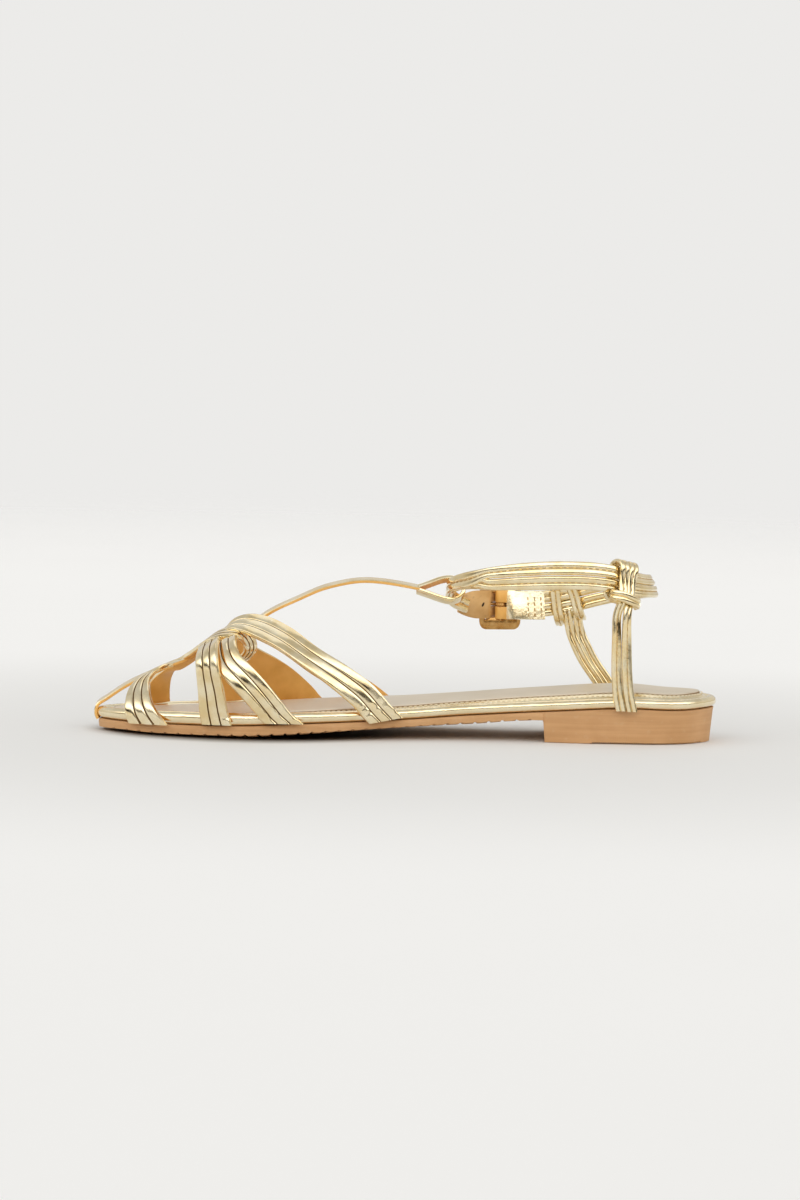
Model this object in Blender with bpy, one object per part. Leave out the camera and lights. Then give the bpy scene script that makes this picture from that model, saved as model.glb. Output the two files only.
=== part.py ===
"""Flat strappy sandal for a right foot, standing empty on its sole.

Toe towards -X, heel towards +X, inner side of the foot towards -Y, +Z up.
Every size is in millimetres until solid() makes a mesh, which is in metres.
The pieces: a moulded outsole with its heel block, a wrapped footbed with a
rolled rim, an insole sock, the vamp straps joined at their knot, an ankle
strap hung on two heel straps, and a buckle with its tab, prong and strap end.
"""

import math

import bmesh
import bpy
import numpy as np

METRE = 0.001
CLEAR = 0.3  # gap between two neighbouring pieces


def table(columns, *rows):
    """Named columns of a short table that is written one section to a row."""
    return dict(zip(columns.split(), np.array(rows, float).T))


# ---------------------------------------------------------------- the last
TOE_X = -124.3
HEEL_X = 125.8
LENGTH = HEEL_X - TOE_X
BREAST_X = 55.0  # front face of the heel block

# Outline of the rim from above: distance from the toe, then Y of each side.
OUTLINE = table(
    "from_toe inner outer",
    (0, -5.0, -5.0),
    (3, -14.0, 3.5),
    (8, -20.0, 9.3),
    (18, -27.0, 16.5),
    (32, -32.3, 24.0),
    (50, -36.8, 31.0),
    (68, -38.4, 36.0),
    (86, -37.6, 38.4),
    (108, -33.0, 38.0),
    (128, -28.5, 35.0),
    (150, -25.6, 31.2),
    (175, -26.0, 28.6),
    (200, -27.7, 28.3),
    (221, -27.2, 27.2),
    (237, -21.6, 21.6),
    (245, -13.5, 13.5),
    (LENGTH, 0.0, 0.0),
)

# Heights along the shoe: tread face, lower side edge, top of the outsole on
# either side, and the ridge of the foot that the straps lie on.
LEVELS = table(
    "along tread side_foot inner_joint outer_joint crown",
    (-125, 2.6, 3.2, 4.8, 4.8, 10.4),
    (-121, 1.2, 1.9, 5.1, 5.1, 12.2),
    (-115, 0.3, 1.5, 5.6, 5.6, 15.2),
    (-105, 0.0, 1.1, 6.0, 5.9, 19.6),
    (-97, 0.0, 1.1, 6.1, 6.0, 23.2),
    (-84, 0.0, 1.2, 6.2, 5.9, 29.4),
    (-76, 0.0, 1.2, 6.3, 5.9, 33.4),
    (-64, 0.0, 1.5, 6.6, 5.9, 38.0),
    (-54, 0.6, 2.1, 7.1, 6.1, 41.2),
    (-38, 1.8, 3.2, 8.0, 6.8, 45.8),
    (-20, 3.0, 4.3, 8.7, 7.7, 50.5),
    (0, 4.4, 5.6, 9.6, 8.8, 56.0),
    (25, 6.0, 7.1, 11.1, 10.6, 63.0),
    (54, 8.2, 9.1, 13.2, 13.1, 70.0),
    (90, 8.2, 9.1, 15.1, 15.1, 72.0),
    (110, 8.2, 9.1, 14.3, 14.3, 72.0),
    (125, 8.2, 9.1, 14.7, 14.7, 70.0),
)

STATIONS = 32  # cuts across the sole from toe to heel


def held_curve(knots, values, at):
    """Cubic through the knots that never runs past a value (Fritsch-Carlson slopes)."""
    at = np.asarray(at, float)
    step = np.diff(knots)
    rise = np.diff(values) / step
    slope = np.zeros_like(values)
    slope[0], slope[-1] = rise[0], rise[-1]
    left, right = 2 * step[1:] + step[:-1], step[1:] + 2 * step[:-1]
    same = rise[:-1] * rise[1:] > 0
    before = np.where(same, rise[:-1], 1.0)
    after = np.where(same, rise[1:], 1.0)
    slope[1:-1] = np.where(same, (left + right) / (left / before + right / after), 0.0)
    cell = np.clip(np.searchsorted(knots, at) - 1, 0, len(step) - 1)
    part = np.clip((at - knots[cell]) / step[cell], 0.0, 1.0)
    start, end = values[cell], values[cell + 1]
    run_in, run_out = slope[cell] * step[cell], slope[cell + 1] * step[cell]
    return (
        start * (1 + 2 * part) * (1 - part) ** 2
        + run_in * part * (1 - part) ** 2
        + end * part**2 * (3 - 2 * part)
        + run_out * part**2 * (part - 1)
    )


def free_curve(knots, values, at):
    """Natural cubic spline through rows of values."""
    step = np.diff(knots)
    count = len(knots)
    system = np.eye(count)
    bend = np.zeros_like(values)
    for row in range(1, count - 1):
        system[row, row - 1 : row + 2] = step[row - 1], 2 * (step[row - 1] + step[row]), step[row]
        bend[row] = 6 * (
            (values[row + 1] - values[row]) / step[row]
            - (values[row] - values[row - 1]) / step[row - 1]
        )
    second = np.linalg.solve(system, bend)
    cell = np.clip(np.searchsorted(knots, at) - 1, 0, count - 2)
    width = step[cell][:, None]
    after = (at - knots[cell])[:, None] / width
    before = 1 - after
    return (
        before * values[cell]
        + after * values[cell + 1]
        + ((before**3 - before) * second[cell] + (after**3 - after) * second[cell + 1])
        * width**2
        / 6
    )


def level(column, along):
    """One of the LEVELS at a place along the shoe."""
    return held_curve(LEVELS["along"], LEVELS[column], along)


def round_ends(from_toe):
    """Share of a half turn that rounds toe and heel: 0 at the toe and 1 at the heel."""
    return np.arccos(np.clip(1 - 2 * np.asarray(from_toe) / LENGTH, -1, 1)) / math.pi


def side_y(side, along):
    """Y of the inner or outer outline at a place along the shoe."""
    turn = round_ends(np.asarray(along, float) - TOE_X)
    return held_curve(round_ends(OUTLINE["from_toe"]), OUTLINE[side], turn)


def joint_height(along, across):
    """Height of the seam between outsole and footbed, sloping from side to side."""
    inner, outer = side_y("inner", along), side_y("outer", along)
    share = np.clip((across - inner) / np.maximum(outer - inner, 1.0), 0.0, 1.0)
    low, high = level("inner_joint", along), level("outer_joint", along)
    return low + (high - low) * share


# ---------------------------------------------------------------- meshes
def material(name, colour, roughness, metallic):
    """Plain finish of one sub-part."""
    made = bpy.data.materials.new(name)
    made.use_nodes = True
    shader = made.node_tree.nodes["Principled BSDF"]
    shader.inputs["Base Color"].default_value = (*colour, 1.0)
    shader.inputs["Roughness"].default_value = roughness
    shader.inputs["Metallic"].default_value = metallic
    return made


def solid(name, vertices, faces, finish):
    """Object made from millimetre points, with its faces turned outwards."""
    mesh = bpy.data.meshes.new(name)
    mesh.from_pydata((np.asarray(vertices) * METRE).tolist(), [], faces)
    shape = bmesh.new()
    shape.from_mesh(mesh)
    bmesh.ops.triangulate(shape, faces=shape.faces)
    bmesh.ops.recalc_face_normals(shape, faces=shape.faces)
    shape.to_mesh(mesh)
    shape.free()
    mesh.shade_smooth()
    mesh.set_sharp_from_angle(angle=math.radians(35))
    mesh.materials.append(finish)
    made = bpy.data.objects.new(name, mesh)
    bpy.context.scene.collection.objects.link(made)
    return made


def skinned(sections, closed=False):
    """Points and faces of a skin over sections, capped unless its ends meet."""
    sections = np.asarray(sections)
    count, around = sections.shape[:2]
    faces = []
    for row in range(count if closed else count - 1):
        here, there = row * around, (row + 1) % count * around
        for side in range(around):
            ahead = (side + 1) % around
            faces.append((here + side, here + ahead, there + ahead, there + side))
    if not closed:
        faces.append(tuple(range(around)))
        faces.append(tuple(range((count - 1) * around, count * around)))
    return sections.reshape(-1, 3), faces


def combined(name, pieces, operation="UNION"):
    """First piece, named, with the others joined to it or cut from it."""
    body = pieces[0]
    body.name = name
    for other in pieces[1:]:
        step = body.modifiers.new(other.name, "BOOLEAN")
        step.operation = operation
        step.solver = "EXACT"
        step.use_self = operation == "UNION"
        step.object = other
        other.hide_render = True
        other.display_type = "WIRE"
    return body


# ---------------------------------------------------------------- sole layers
def stations():
    """Places along the shoe, close at toe and heel, with a pair at the heel breast."""
    turn = np.linspace(0.0, math.pi, STATIONS + 1)[1:-1]
    places = TOE_X + LENGTH * (1 - np.cos(turn)) / 2
    places = places[np.abs(places - BREAST_X) > 2.5]
    return np.sort(np.append(places, (BREAST_X - 0.15, BREAST_X + 0.15)))


def outline_loop():
    """Points and outward directions round the rim, from toe by the outer side to heel."""
    along = stations()
    outer = np.stack([along, side_y("outer", along)], 1)
    inner = np.stack([along, side_y("inner", along)], 1)[::-1]
    toe = [[TOE_X, OUTLINE["inner"][0]]]
    heel = [[HEEL_X, OUTLINE["inner"][-1]]]
    loop = np.concatenate([toe, outer, heel, inner])
    tangent = np.roll(loop, -1, 0) - np.roll(loop, 1, 0)
    outward = np.stack([-tangent[:, 1], tangent[:, 0]], 1)
    return loop, outward / np.linalg.norm(outward, axis=1)[:, None]


def layer(name, rims, columns, reshape, finish):
    """Solid whose side is swept round the outline and whose faces are filled across.

    rims lists (inset, height) pairs from the upper face's edge round to the lower
    face's edge. Both may be functions of place, and reshape adjusts filled points.
    """
    loop, outward = outline_loop()
    size = len(loop)
    half = size // 2
    points = []
    for inset, height in rims:
        inward = inset(loop[:, 0]) if callable(inset) else inset
        edge = loop - outward * np.reshape(inward, (-1, 1))
        points.append(np.column_stack([edge, height(loop[:, 0], edge[:, 1])]))
    vertices = list(np.concatenate(points))
    faces = []
    for row in range(len(rims) - 1):
        for place in range(size):
            ahead = (place + 1) % size
            here = row * size
            there = here + size
            faces.append((here + place, here + ahead, there + ahead, there + place))
    for row, face_up in ((0, True), (len(rims) - 1, False)):
        ring = points[row]
        grid = []
        for place in range(1, half):
            outer_id, inner_id = row * size + place, row * size + size - place
            share = np.linspace(0, 1, columns + 1)[1:-1, None]
            between = ring[place] + (ring[size - place] - ring[place]) * share
            start = len(vertices)
            vertices.extend(reshape(between, face_up))
            grid.append([outer_id, *range(start, start + columns - 1), inner_id])
        for here, there in zip(grid, grid[1:]):
            for column in range(columns):
                faces.append((here[column], here[column + 1], there[column + 1], there[column]))
        for tip, end in ((row * size, grid[0]), (row * size + half, grid[-1])):
            for column in range(columns):
                faces.append((tip, end[column], end[column + 1]))
    return solid(name, np.array(vertices), faces, finish)


SOLE_INSET = 0.7  # the rim overhangs the outsole by this much
SHOULDER_DROP = 1.2
HEEL_LEAN = 1.1  # how far the heel's side draws in at the floor
TREAD_BEVEL = 3.2
HEEL_BEVEL = 0.6
HEEL_SIDE_FOOT = 0.5  # the heel's side ends this far above the floor
BREAST_HOLLOW = 4.0  # how far the middle of the heel's front face is drawn back,
HOLLOW_RUN = 14.0  # over this length
HOLLOW_HALF = 25.0  # and this far to either side


def at_heel(along):
    """0 along the forepart and 1 over the heel block."""
    return (np.asarray(along) > BREAST_X).astype(float)


def side_foot(along, across):
    """Lower edge of the outsole's side: above the floor forward, near it at the heel."""
    return np.where(at_heel(along) > 0, HEEL_SIDE_FOOT, level("side_foot", along))


def tread_face(along, across):
    """Underside of the outsole: one plane at the ball and the heel, arched between."""
    return np.where(at_heel(along) > 0, 0.0, level("tread", along))


def hollow_breast(between, face_up):
    """Draws the middle of the heel's front face back, on the underside."""
    if face_up:
        return between
    along, across = between[:, 0], between[:, 1]
    near = np.clip(1 - np.abs(along - BREAST_X) / HOLLOW_RUN, 0.0, 1.0)
    middle = np.clip(1 - (across / HOLLOW_HALF) ** 2, 0.0, 1.0)
    shifted = between.copy()
    shifted[:, 0] += BREAST_HOLLOW * near * middle
    return shifted


def make_outsole(finish):
    """Moulded sole: side wall, bevelled tread edge, toe spring, arch and low heel."""
    side_inset = SOLE_INSET + 0.3

    def lean(along):
        return side_inset + HEEL_LEAN * at_heel(along)

    def tread_inset(along):
        return lean(along) + np.where(at_heel(along) > 0, HEEL_BEVEL, TREAD_BEVEL)

    def shoulder(along, across):
        return joint_height(along, across) - SHOULDER_DROP

    rims = (
        (SOLE_INSET + 1.0, joint_height),
        (SOLE_INSET, shoulder),
        (lean, side_foot),
        (tread_inset, tread_face),
    )
    return layer("outsole", rims, 4, hollow_breast, finish)


ROLL_HEIGHT = 4.5  # rolled rim above the outsole
ROLL_REACH = 3.8  # rolled rim from the outline to its groove
GROOVE_DROP = 1.4
MARGIN_REACH = 6.6  # inner edge of the flat margin, where the sock starts
SEAT_DROP = 1.0  # bed under the sock, below the margin


def roll_share(part):
    """Height of the roll at a share of its height."""

    def height(along, across):
        return joint_height(along, across) + CLEAR + (ROLL_HEIGHT - CLEAR) * part

    return height


def margin_height(along, across):
    """Flat margin inside the roll, a little higher at the heel than at the toe."""
    lift = 0.5 * np.clip((np.asarray(along) + 20) / 80, 0, 1)
    return joint_height(along, across) + ROLL_HEIGHT - GROOVE_DROP + 0.5 + lift


def seat_height(along, across):
    """Bed that the sock is glued to."""
    return margin_height(along, across) - SEAT_DROP


def make_footbed(finish):
    """Board wrapped in metallic leather: a padded roll round a flat margin."""
    rims = (
        (MARGIN_REACH, seat_height),
        (MARGIN_REACH, margin_height),
        (ROLL_REACH + 0.5, margin_height),
        (ROLL_REACH, roll_share(0.75)),
        (2.4, roll_share(1.0)),
        (0.7, roll_share(0.85)),
        (0.0, roll_share(0.5)),
        (0.5, roll_share(0.2)),
        (1.6, roll_share(0.0)),
    )
    return layer("footbed", rims, 1, lambda between, face_up: between, finish)


SOCK_RISE = 1.3  # top of the sock above the margin
SOCK_ROUND = 0.7  # height of its rounded edge
SOCK_ROUND_REACH = 1.5
SOCK_CROWN = 0.5


def make_sock(finish):
    """Padded insole sock, edge to edge inside the margin."""

    def base(along, across):
        return seat_height(along, across) + CLEAR

    def shoulder(along, across):
        return margin_height(along, across) + SOCK_RISE - SOCK_ROUND

    def top(along, across):
        return margin_height(along, across) + SOCK_RISE

    def swell(between, face_up):
        if face_up:
            between[:, 2] += SOCK_CROWN
        return between

    edge = MARGIN_REACH + CLEAR
    rims = ((edge + SOCK_ROUND_REACH, top), (edge, shoulder), (edge, base))
    return layer("insole_sock", rims, 4, swell, finish)


# ---------------------------------------------------------------- straps
RIM_OFFSET = 0.45  # the foot's sections end this far outside the rim,
RIM_DROP = 1.4  # this far below its top,
WALL_BLUNT = 0.91  # and are this much squarer than an ellipse at their sides
CROWN_BLUNT = 1.05
HANG_RATE = 0.4  # drop for each degree of girth past the rim


def last_point(along, girth):
    """Point on the foot: girth 0 at the inner rim, 90 on the ridge, 180 at the outer rim.

    Between the rims a section is a superellipse. Past them it hangs straight down.
    """
    along, girth = np.broadcast_arrays(np.asarray(along, float), girth)
    turn = np.radians(np.clip(girth, 0, 180))
    inner = side_y("inner", along) - RIM_OFFSET
    outer = side_y("outer", along) + RIM_OFFSET
    across = np.where(turn < math.pi / 2, inner, outer) * np.abs(np.cos(turn)) ** WALL_BLUNT
    rim = level("inner_joint", along) + ROLL_HEIGHT - RIM_DROP
    height = rim + (level("crown", along) - rim) * np.sin(turn) ** CROWN_BLUNT
    past = np.where(girth < 0, -girth, np.where(girth > 180, girth - 180, 0.0))
    return np.stack([along, across, height - past * HANG_RATE], -1)


def last_normal(along, girth):
    """Direction straight off the foot."""
    girth = np.clip(girth, 1.0, 179.0)
    by_along = last_point(along + 0.5, girth) - last_point(along - 0.5, girth)
    by_girth = last_point(along, girth + 0.5) - last_point(along, girth - 0.5)
    normal = np.cross(by_along, by_girth)
    normal[normal[:, 2] < 0] *= -1
    return unit(normal)


def unit(vectors):
    """Vectors brought to length one."""
    return vectors / np.linalg.norm(vectors, axis=-1, keepdims=True)


def band_section(ribs, edge, crest):
    """Across and up shares of a band: a flat lining under a row of raised ribs."""
    across, up = [-0.5], [edge]
    for rib in range(ribs):
        for place, height in ((0.25, crest), (0.75, crest), (1.0, edge)):
            across.append(-0.5 + (rib + place) / ribs)
            up.append(height)
    return np.array(across + [0.5, -0.5]), np.array(up + [0.0, 0.0])


RIB_VALLEY = 0.55  # thickness between two ribs as a share of a band's own
SQUARED_REACH = 9.0  # length over which a cut end turns level


def band(name, points, outward, width, thick, ribs, finish, square_ends=()):
    """Strap carried along points, its lining on them and its ribs facing outward.

    square_ends lists ends (0 or -1) whose cut lies level instead of across the strap.
    """
    forward = unit(np.gradient(points, axis=0))
    across = unit(np.cross(forward, outward))
    outward = np.cross(across, forward)
    for end in square_ends:
        gone = np.linalg.norm(points - points[end], axis=1)
        fade = np.clip(1.4 - gone / SQUARED_REACH, 0.0, 1.0)
        slant = -across[:, 2] / np.where(np.abs(forward[:, 2]) < 0.3, 0.3, forward[:, 2])
        across = across + forward * (np.clip(slant, -1.2, 1.2) * fade)[:, None]
    place, height = band_section(ribs, RIB_VALLEY, 1.0)
    sections = (
        points[:, None]
        + across[:, None] * (place[None, :, None] * np.reshape(width, (-1, 1, 1)))
        + outward[:, None] * (height[None, :, None] * np.reshape(thick, (-1, 1, 1)))
    )
    vertices, faces = skinned(sections)
    return solid(name, vertices, faces, finish)


def on_last(path, count):
    """Smooth route over the foot: points, outward directions and widths."""
    rows = np.stack([path["along"], path["girth"], path["lift"], path["width"]], 1)
    knots = last_point(rows[:, 0], rows[:, 1])
    travelled = np.append(0, np.cumsum(np.linalg.norm(np.diff(knots, axis=0), axis=1)))
    smooth = free_curve(travelled, rows, np.linspace(0, travelled[-1], count))
    outward = last_normal(smooth[:, 0], smooth[:, 1])
    points = last_point(smooth[:, 0], smooth[:, 1]) + outward * smooth[:, 2:3]
    return points, outward, smooth[:, 3]


BAND_THICK = 2.0
BAND_CUTS = 16  # sections along a band

# Routes of the vamp bands over the foot, each from its foot at the inner rim.
FRONT_LOOP_INNER = table(
    "along girth lift width",
    (-102.8, -9, 0.0, 11.5),
    (-105.6, 8, 0.0, 10.5),
    (-107.0, 30, 0.0, 10.0),
    (-105.4, 56, 0.0, 8.5),
    (-100.6, 74, 0.2, 7.0),
    (-93.0, 80, 0.4, 6.0),
    (-84.0, 80, 1.2, 6.0),
    (-76.0, 81, 2.6, 6.0),
    (-69.0, 82, 2.6, 6.0),
)
FRONT_LOOP_OUTER = table(
    "along girth lift width",
    (-102.6, 190, 0.0, 11.5),
    (-103.6, 172, 0.0, 10.5),
    (-103.4, 150, 0.0, 10.0),
    (-101.6, 126, 0.0, 8.5),
    (-98.0, 109, 0.2, 7.0),
    (-93.0, 101, 0.4, 6.0),
    (-84.0, 100, 1.2, 6.0),
    (-76.0, 99, 2.6, 6.0),
    (-69.0, 98, 2.6, 6.0),
)
MIDDLE_BAND = table(
    "along girth lift width",
    (-75.4, -11, 0.0, 12.0),
    (-76.6, 9, 0.0, 11.5),
    (-77.6, 26, 0.0, 11.0),
    (-78.2, 50, 0.0, 10.0),
    (-77.4, 74, 0.0, 7.5),
    (-76.6, 90, 0.2, 7.0),
    (-76.4, 106, 0.0, 7.5),
    (-76.0, 130, 0.0, 10.0),
    (-74.6, 156, 0.0, 11.0),
    (-73.0, 176, 0.0, 11.5),
    (-72.0, 191, 0.0, 12.0),
)
REAR_BAND = table(
    "along girth lift width",
    (-48.4, -11, 0.0, 10.0),
    (-53.6, 4, 0.0, 10.6),
    (-59.0, 19, 0.0, 11.0),
    (-65.0, 38, 0.0, 10.0),
    (-70.0, 62, 0.2, 8.5),
    (-71.6, 90, 0.5, 7.0),
    (-69.0, 118, 0.2, 8.5),
    (-62.0, 142, 0.0, 10.0),
    (-53.6, 160, 0.0, 11.0),
    (-46.6, 176, 0.0, 10.6),
    (-42.0, 191, 0.0, 10.0),
)
KNOT_BAND_INNER = table(
    "along girth lift width",
    (-8.8, -8, 0.0, 8.8),
    (-14.4, 4, 0.0, 9.4),
    (-23.6, 17, 0.0, 10.4),
    (-34.0, 32, 0.0, 10.8),
    (-44.0, 50, 0.4, 10.4),
    (-52.0, 66, 3.0, 10.0),
    (-59.0, 80, 5.6, 9.4),
    (-66.0, 91, 6.4, 8.6),
    (-72.0, 102, 4.2, 7.6),
    (-75.0, 113, 1.0, 7.0),
)
KNOT_BAND_OUTER = table(
    "along girth lift width",
    (-13.2, 189, 0.0, 9.0),
    (-19.6, 177, 0.0, 10.0),
    (-28.0, 164, 0.0, 11.5),
    (-37.6, 148, 0.0, 11.0),
    (-46.6, 130, 0.8, 11.0),
    (-54.0, 114, 2.2, 10.0),
    (-61.0, 100, 3.0, 9.0),
    (-67.0, 88, 3.0, 8.5),
    (-72.5, 76, 1.8, 7.5),
    (-75.0, 66, 0.2, 7.0),
)
VAMP_BANDS = (
    ("front_loop_inner", FRONT_LOOP_INNER, (0,)),
    ("front_loop_outer", FRONT_LOOP_OUTER, (0,)),
    ("middle_band", MIDDLE_BAND, (0, -1)),
    ("rear_band", REAR_BAND, (0, -1)),
    ("knot_band_inner", KNOT_BAND_INNER, (0,)),
    ("knot_band_outer", KNOT_BAND_OUTER, (0,)),
)

# Crest of the front loop, where it curls down behind the knot, seen from the side.
CURL = table(
    "along height",
    (-74.0, 37.0),
    (-70.0, 38.9),
    (-66.2, 38.6),
    (-63.6, 36.6),
    (-63.0, 33.8),
    (-64.4, 31.0),
    (-67.4, 29.8),
)
CURL_WIDTH = 13.0
CURL_CUTS = 10

# Thin strap along the middle, from under the toe over the knot to the ankle.
THIN_WIDTH = 5.5
THIN_THICK = 1.2
THIN_CUTS = 34
THIN_STRAP = table(
    "along across height",
    (-125.1, -5.0, 4.2),
    (-125.15, -5.0, 6.6),
    (-125.0, -5.0, 9.4),
    (-123.6, -4.8, 11.9),
    (-118.0, -4.2, 14.9),
    (-111.0, -3.0, 18.9),
    (-104.0, -2.0, 22.3),
    (-98.0, -1.0, 24.9),
    (-91.0, 0.0, 28.4),
    (-84.0, 0.0, 32.2),
    (-77.0, 0.0, 37.4),
    (-70.0, 0.0, 39.6),
    (-64.0, 0.0, 42.6),
    (-58.5, 0.0, 47.0),
    (-52.0, 0.0, 50.4),
    (-43.9, 0.0, 54.3),
    (-35.8, 0.0, 57.8),
    (-27.7, 0.0, 60.2),
    (-19.6, 0.0, 61.5),
    (-11.5, 0.0, 61.5),
    (-3.4, 0.0, 60.5),
    (5.0, 0.0, 59.0),
)

# Loop at its rear end, round the ankle strap: along X and up the loop's own plane.
ANKLE_LOOP = table(
    "along up",
    (4.0, 0.7),
    (9.0, 2.7),
    (14.0, 4.6),
    (18.8, 4.6),
    (22.0, 2.0),
    (22.0, -1.8),
    (19.4, -4.3),
    (13.8, -4.1),
    (8.6, -2.3),
    (3.4, -0.5),
)
LOOP_CENTRE_Z = 58.6
LOOP_TILT = math.radians(26)  # the loop lies square to the sloping ankle strap
LOOP_WIDTH = 5.5
LOOP_CUTS = 17


def route(path, columns, count):
    """Smooth route through a table's columns."""
    rows = np.stack([path[column] for column in columns], 1)
    travelled = np.append(0, np.cumsum(np.linalg.norm(np.diff(rows, axis=0), axis=1)))
    return free_curve(travelled, rows, np.linspace(0, travelled[-1], count))


def flat_strip(name, points, sideways, width, thick, finish):
    """Plain strap of rectangular section centred on its route."""
    forward = unit(np.gradient(points, axis=0))
    across = unit(sideways - forward * np.sum(sideways * forward, -1, keepdims=True))
    outward = np.cross(across, forward)
    corners = ((-0.5, -0.5), (0.5, -0.5), (0.5, 0.5), (-0.5, 0.5))
    sections = np.stack(
        [points + across * (width * a) + outward * (thick * b) for a, b in corners], 1
    )
    vertices, faces = skinned(sections)
    return solid(name, vertices, faces, finish)


def make_vamp(finish):
    """All the straps of the forefoot, one solid through their knot."""
    pieces = []
    for name, path, square_ends in VAMP_BANDS:
        points, outward, width = on_last(path, BAND_CUTS)
        pieces.append(band(name, points, outward, width, BAND_THICK, 3, finish, square_ends))
    curl = route(CURL, ("along", "height"), CURL_CUTS)
    curl_points = np.column_stack([curl[:, 0], np.zeros(CURL_CUTS), curl[:, 1]])
    sideways = np.array([[0.0, 1.0, 0.0]])
    pieces.append(flat_strip("curl", curl_points, sideways, CURL_WIDTH, BAND_THICK, finish))
    thin = route(THIN_STRAP, ("along", "across", "height"), THIN_CUTS)
    pieces.append(flat_strip("thin_strap", thin, sideways, THIN_WIDTH, THIN_THICK, finish))
    loop = route(ANKLE_LOOP, ("along", "up"), LOOP_CUTS)
    up = np.array([0.0, math.sin(LOOP_TILT), math.cos(LOOP_TILT)])
    loop_points = np.outer(loop[:, 0], (1.0, 0.0, 0.0)) + np.outer(loop[:, 1], up)
    loop_points[:, 2] += LOOP_CENTRE_Z
    loop_side = np.array([[0.0, math.cos(LOOP_TILT), -math.sin(LOOP_TILT)]])
    pieces.append(
        flat_strip("ankle_loop", loop_points, loop_side, LOOP_WIDTH, THIN_THICK, finish)
    )
    return combined("vamp_straps", pieces)


# ---------------------------------------------------------------- ankle strap
# Lining of the strap round the ankle, from the buckle tab round the heel.
ANKLE = table(
    "along across height width thick",
    (53.0, 28.1, 52.0, 10.6, 2.0),
    (58.0, 28.9, 52.5, 10.6, 2.0),
    (66.0, 28.8, 54.0, 10.6, 2.0),
    (75.0, 26.6, 56.6, 10.4, 2.0),
    (84.0, 22.2, 58.9, 10.0, 2.0),
    (92.0, 15.4, 60.4, 9.6, 2.0),
    (96.8, 7.6, 61.4, 9.4, 2.0),
    (98.2, 0.0, 62.0, 9.4, 2.0),
    (96.8, -7.6, 62.4, 9.4, 2.0),
    (92.6, -15.0, 63.2, 9.6, 2.0),
    (86.4, -20.6, 64.8, 10.2, 2.0),
    (78.0, -24.6, 66.6, 10.8, 2.0),
    (67.0, -27.2, 67.4, 11.0, 2.0),
    (54.0, -27.6, 67.1, 11.0, 2.0),
    (42.0, -25.6, 66.2, 10.2, 2.0),
    (31.5, -21.0, 65.0, 8.4, 2.2),
    (23.6, -13.6, 63.4, 6.6, 2.6),
    (19.2, -5.4, 61.2, 5.8, 3.0),
    (18.2, 2.0, 58.4, 5.8, 3.0),
    (19.4, 9.0, 55.0, 5.8, 2.8),
    (25.0, 18.5, 51.4, 6.0, 2.4),
)
ANKLE_LEAN = 0.1  # the strap leans in at its top, as an ankle does
ANKLE_CUTS = 36


def ankle_route(count):
    """Lining points, outward directions, widths and thicknesses along the ankle strap."""
    rows = route(ANKLE, ("along", "across", "height", "width", "thick"), count)
    points = rows[:, :3]
    forward = unit(np.gradient(points, axis=0))
    outward = unit(np.cross([0.0, 0.0, 1.0], forward)) + [0.0, 0.0, ANKLE_LEAN]
    return points, unit(outward), rows[:, 3], rows[:, 4]


def make_ankle_strap(finish):
    """Double strap from the buckle tab round the heel and the front loop to its end."""
    points, outward, width, thick = ankle_route(ANKLE_CUTS)
    return band("ankle_strap", points, outward, width, thick, 4, finish)


def ankle_place(along, side):
    """Axes where the ankle strap passes a place: centre, along it, outward and up it."""
    points, outward, width, thick = ankle_route(400)
    distance = np.abs(points[:, 0] - along) + 1000 * (points[:, 1] * side < 0)
    near = int(np.argmin(distance))
    forward = unit(points[near + 1] - points[near - 1])
    up = unit(np.cross(forward, outward[near]))
    out = np.cross(up, forward)
    return points[near] + out * thick[near] / 2, forward, out, up, width[near] / 2


# ---------------------------------------------------------------- heel straps
HEEL_STRAP_THICK = 1.8
STRAND_PITCH = 3.9  # from one strand's middle to the other's
STRAND_WIDE = 4.2  # a little over the pitch, so that the two are one solid
STAGGER = 0.1  # one strand's cut end is this much higher than the pair's middle
RISE_CUTS = 4  # sections up a strand before its hitch
HITCH_CUTS = 16

# Each heel strap: lining of its middle from the rim up, then where its hitch is.
HEEL_STRAPS = {
    "heel_strap_inner": {
        "side": -1,
        "hitch_at": 86.4,
        "rise": table(
            "along across height",
            (88.0, -28.1, 13.6),
            (86.8, -28.2, 19.0),
            (85.4, -27.8, 29.0),
            (84.9, -26.6, 41.0),
        ),
    },
    "heel_strap_outer": {
        "side": 1,
        "hitch_at": 64.2,
        "rise": table(
            "along across height",
            (84.4, 28.9, 13.6),
            (81.2, 29.0, 19.0),
            (74.6, 29.4, 28.0),
            (68.8, 29.7, 38.0),
        ),
    },
}

# One strand of the hitch round the ankle strap, mirrored for the other: out from
# the ankle strap's middle and up from its upper (+) or lower (-) edge.
HITCH = table(
    "side out up edge",
    (2.0, 2.0, -2.0, -1),
    (2.1, 1.9, 2.6, -1),
    (2.2, 1.9, -2.4, 1),
    (2.5, 1.7, 0.3, 1),
    (2.9, 0.0, 1.6, 1),
    (3.4, -2.3, 1.0, 1),
    (4.1, -2.8, -2.2, 1),
    (4.6, -2.8, 2.6, -1),
    (4.8, -2.5, -0.6, -1),
    (4.9, -0.2, -2.3, -1),
    (4.9, 2.0, -3.0, -1),
    (4.4, 4.6, -2.6, -1),
)

# The bar of the hitch, across the outside under the ankle strap.
HITCH_BAR = table(
    "side out",
    (-6.6, 2.2),
    (-5.4, 4.0),
    (-2.8, 4.9),
    (0.0, 5.1),
    (2.8, 4.9),
    (5.4, 4.0),
    (6.6, 2.2),
)
BAR_DROP = 2.4
BAR_HEIGHT = 4.6


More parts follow.
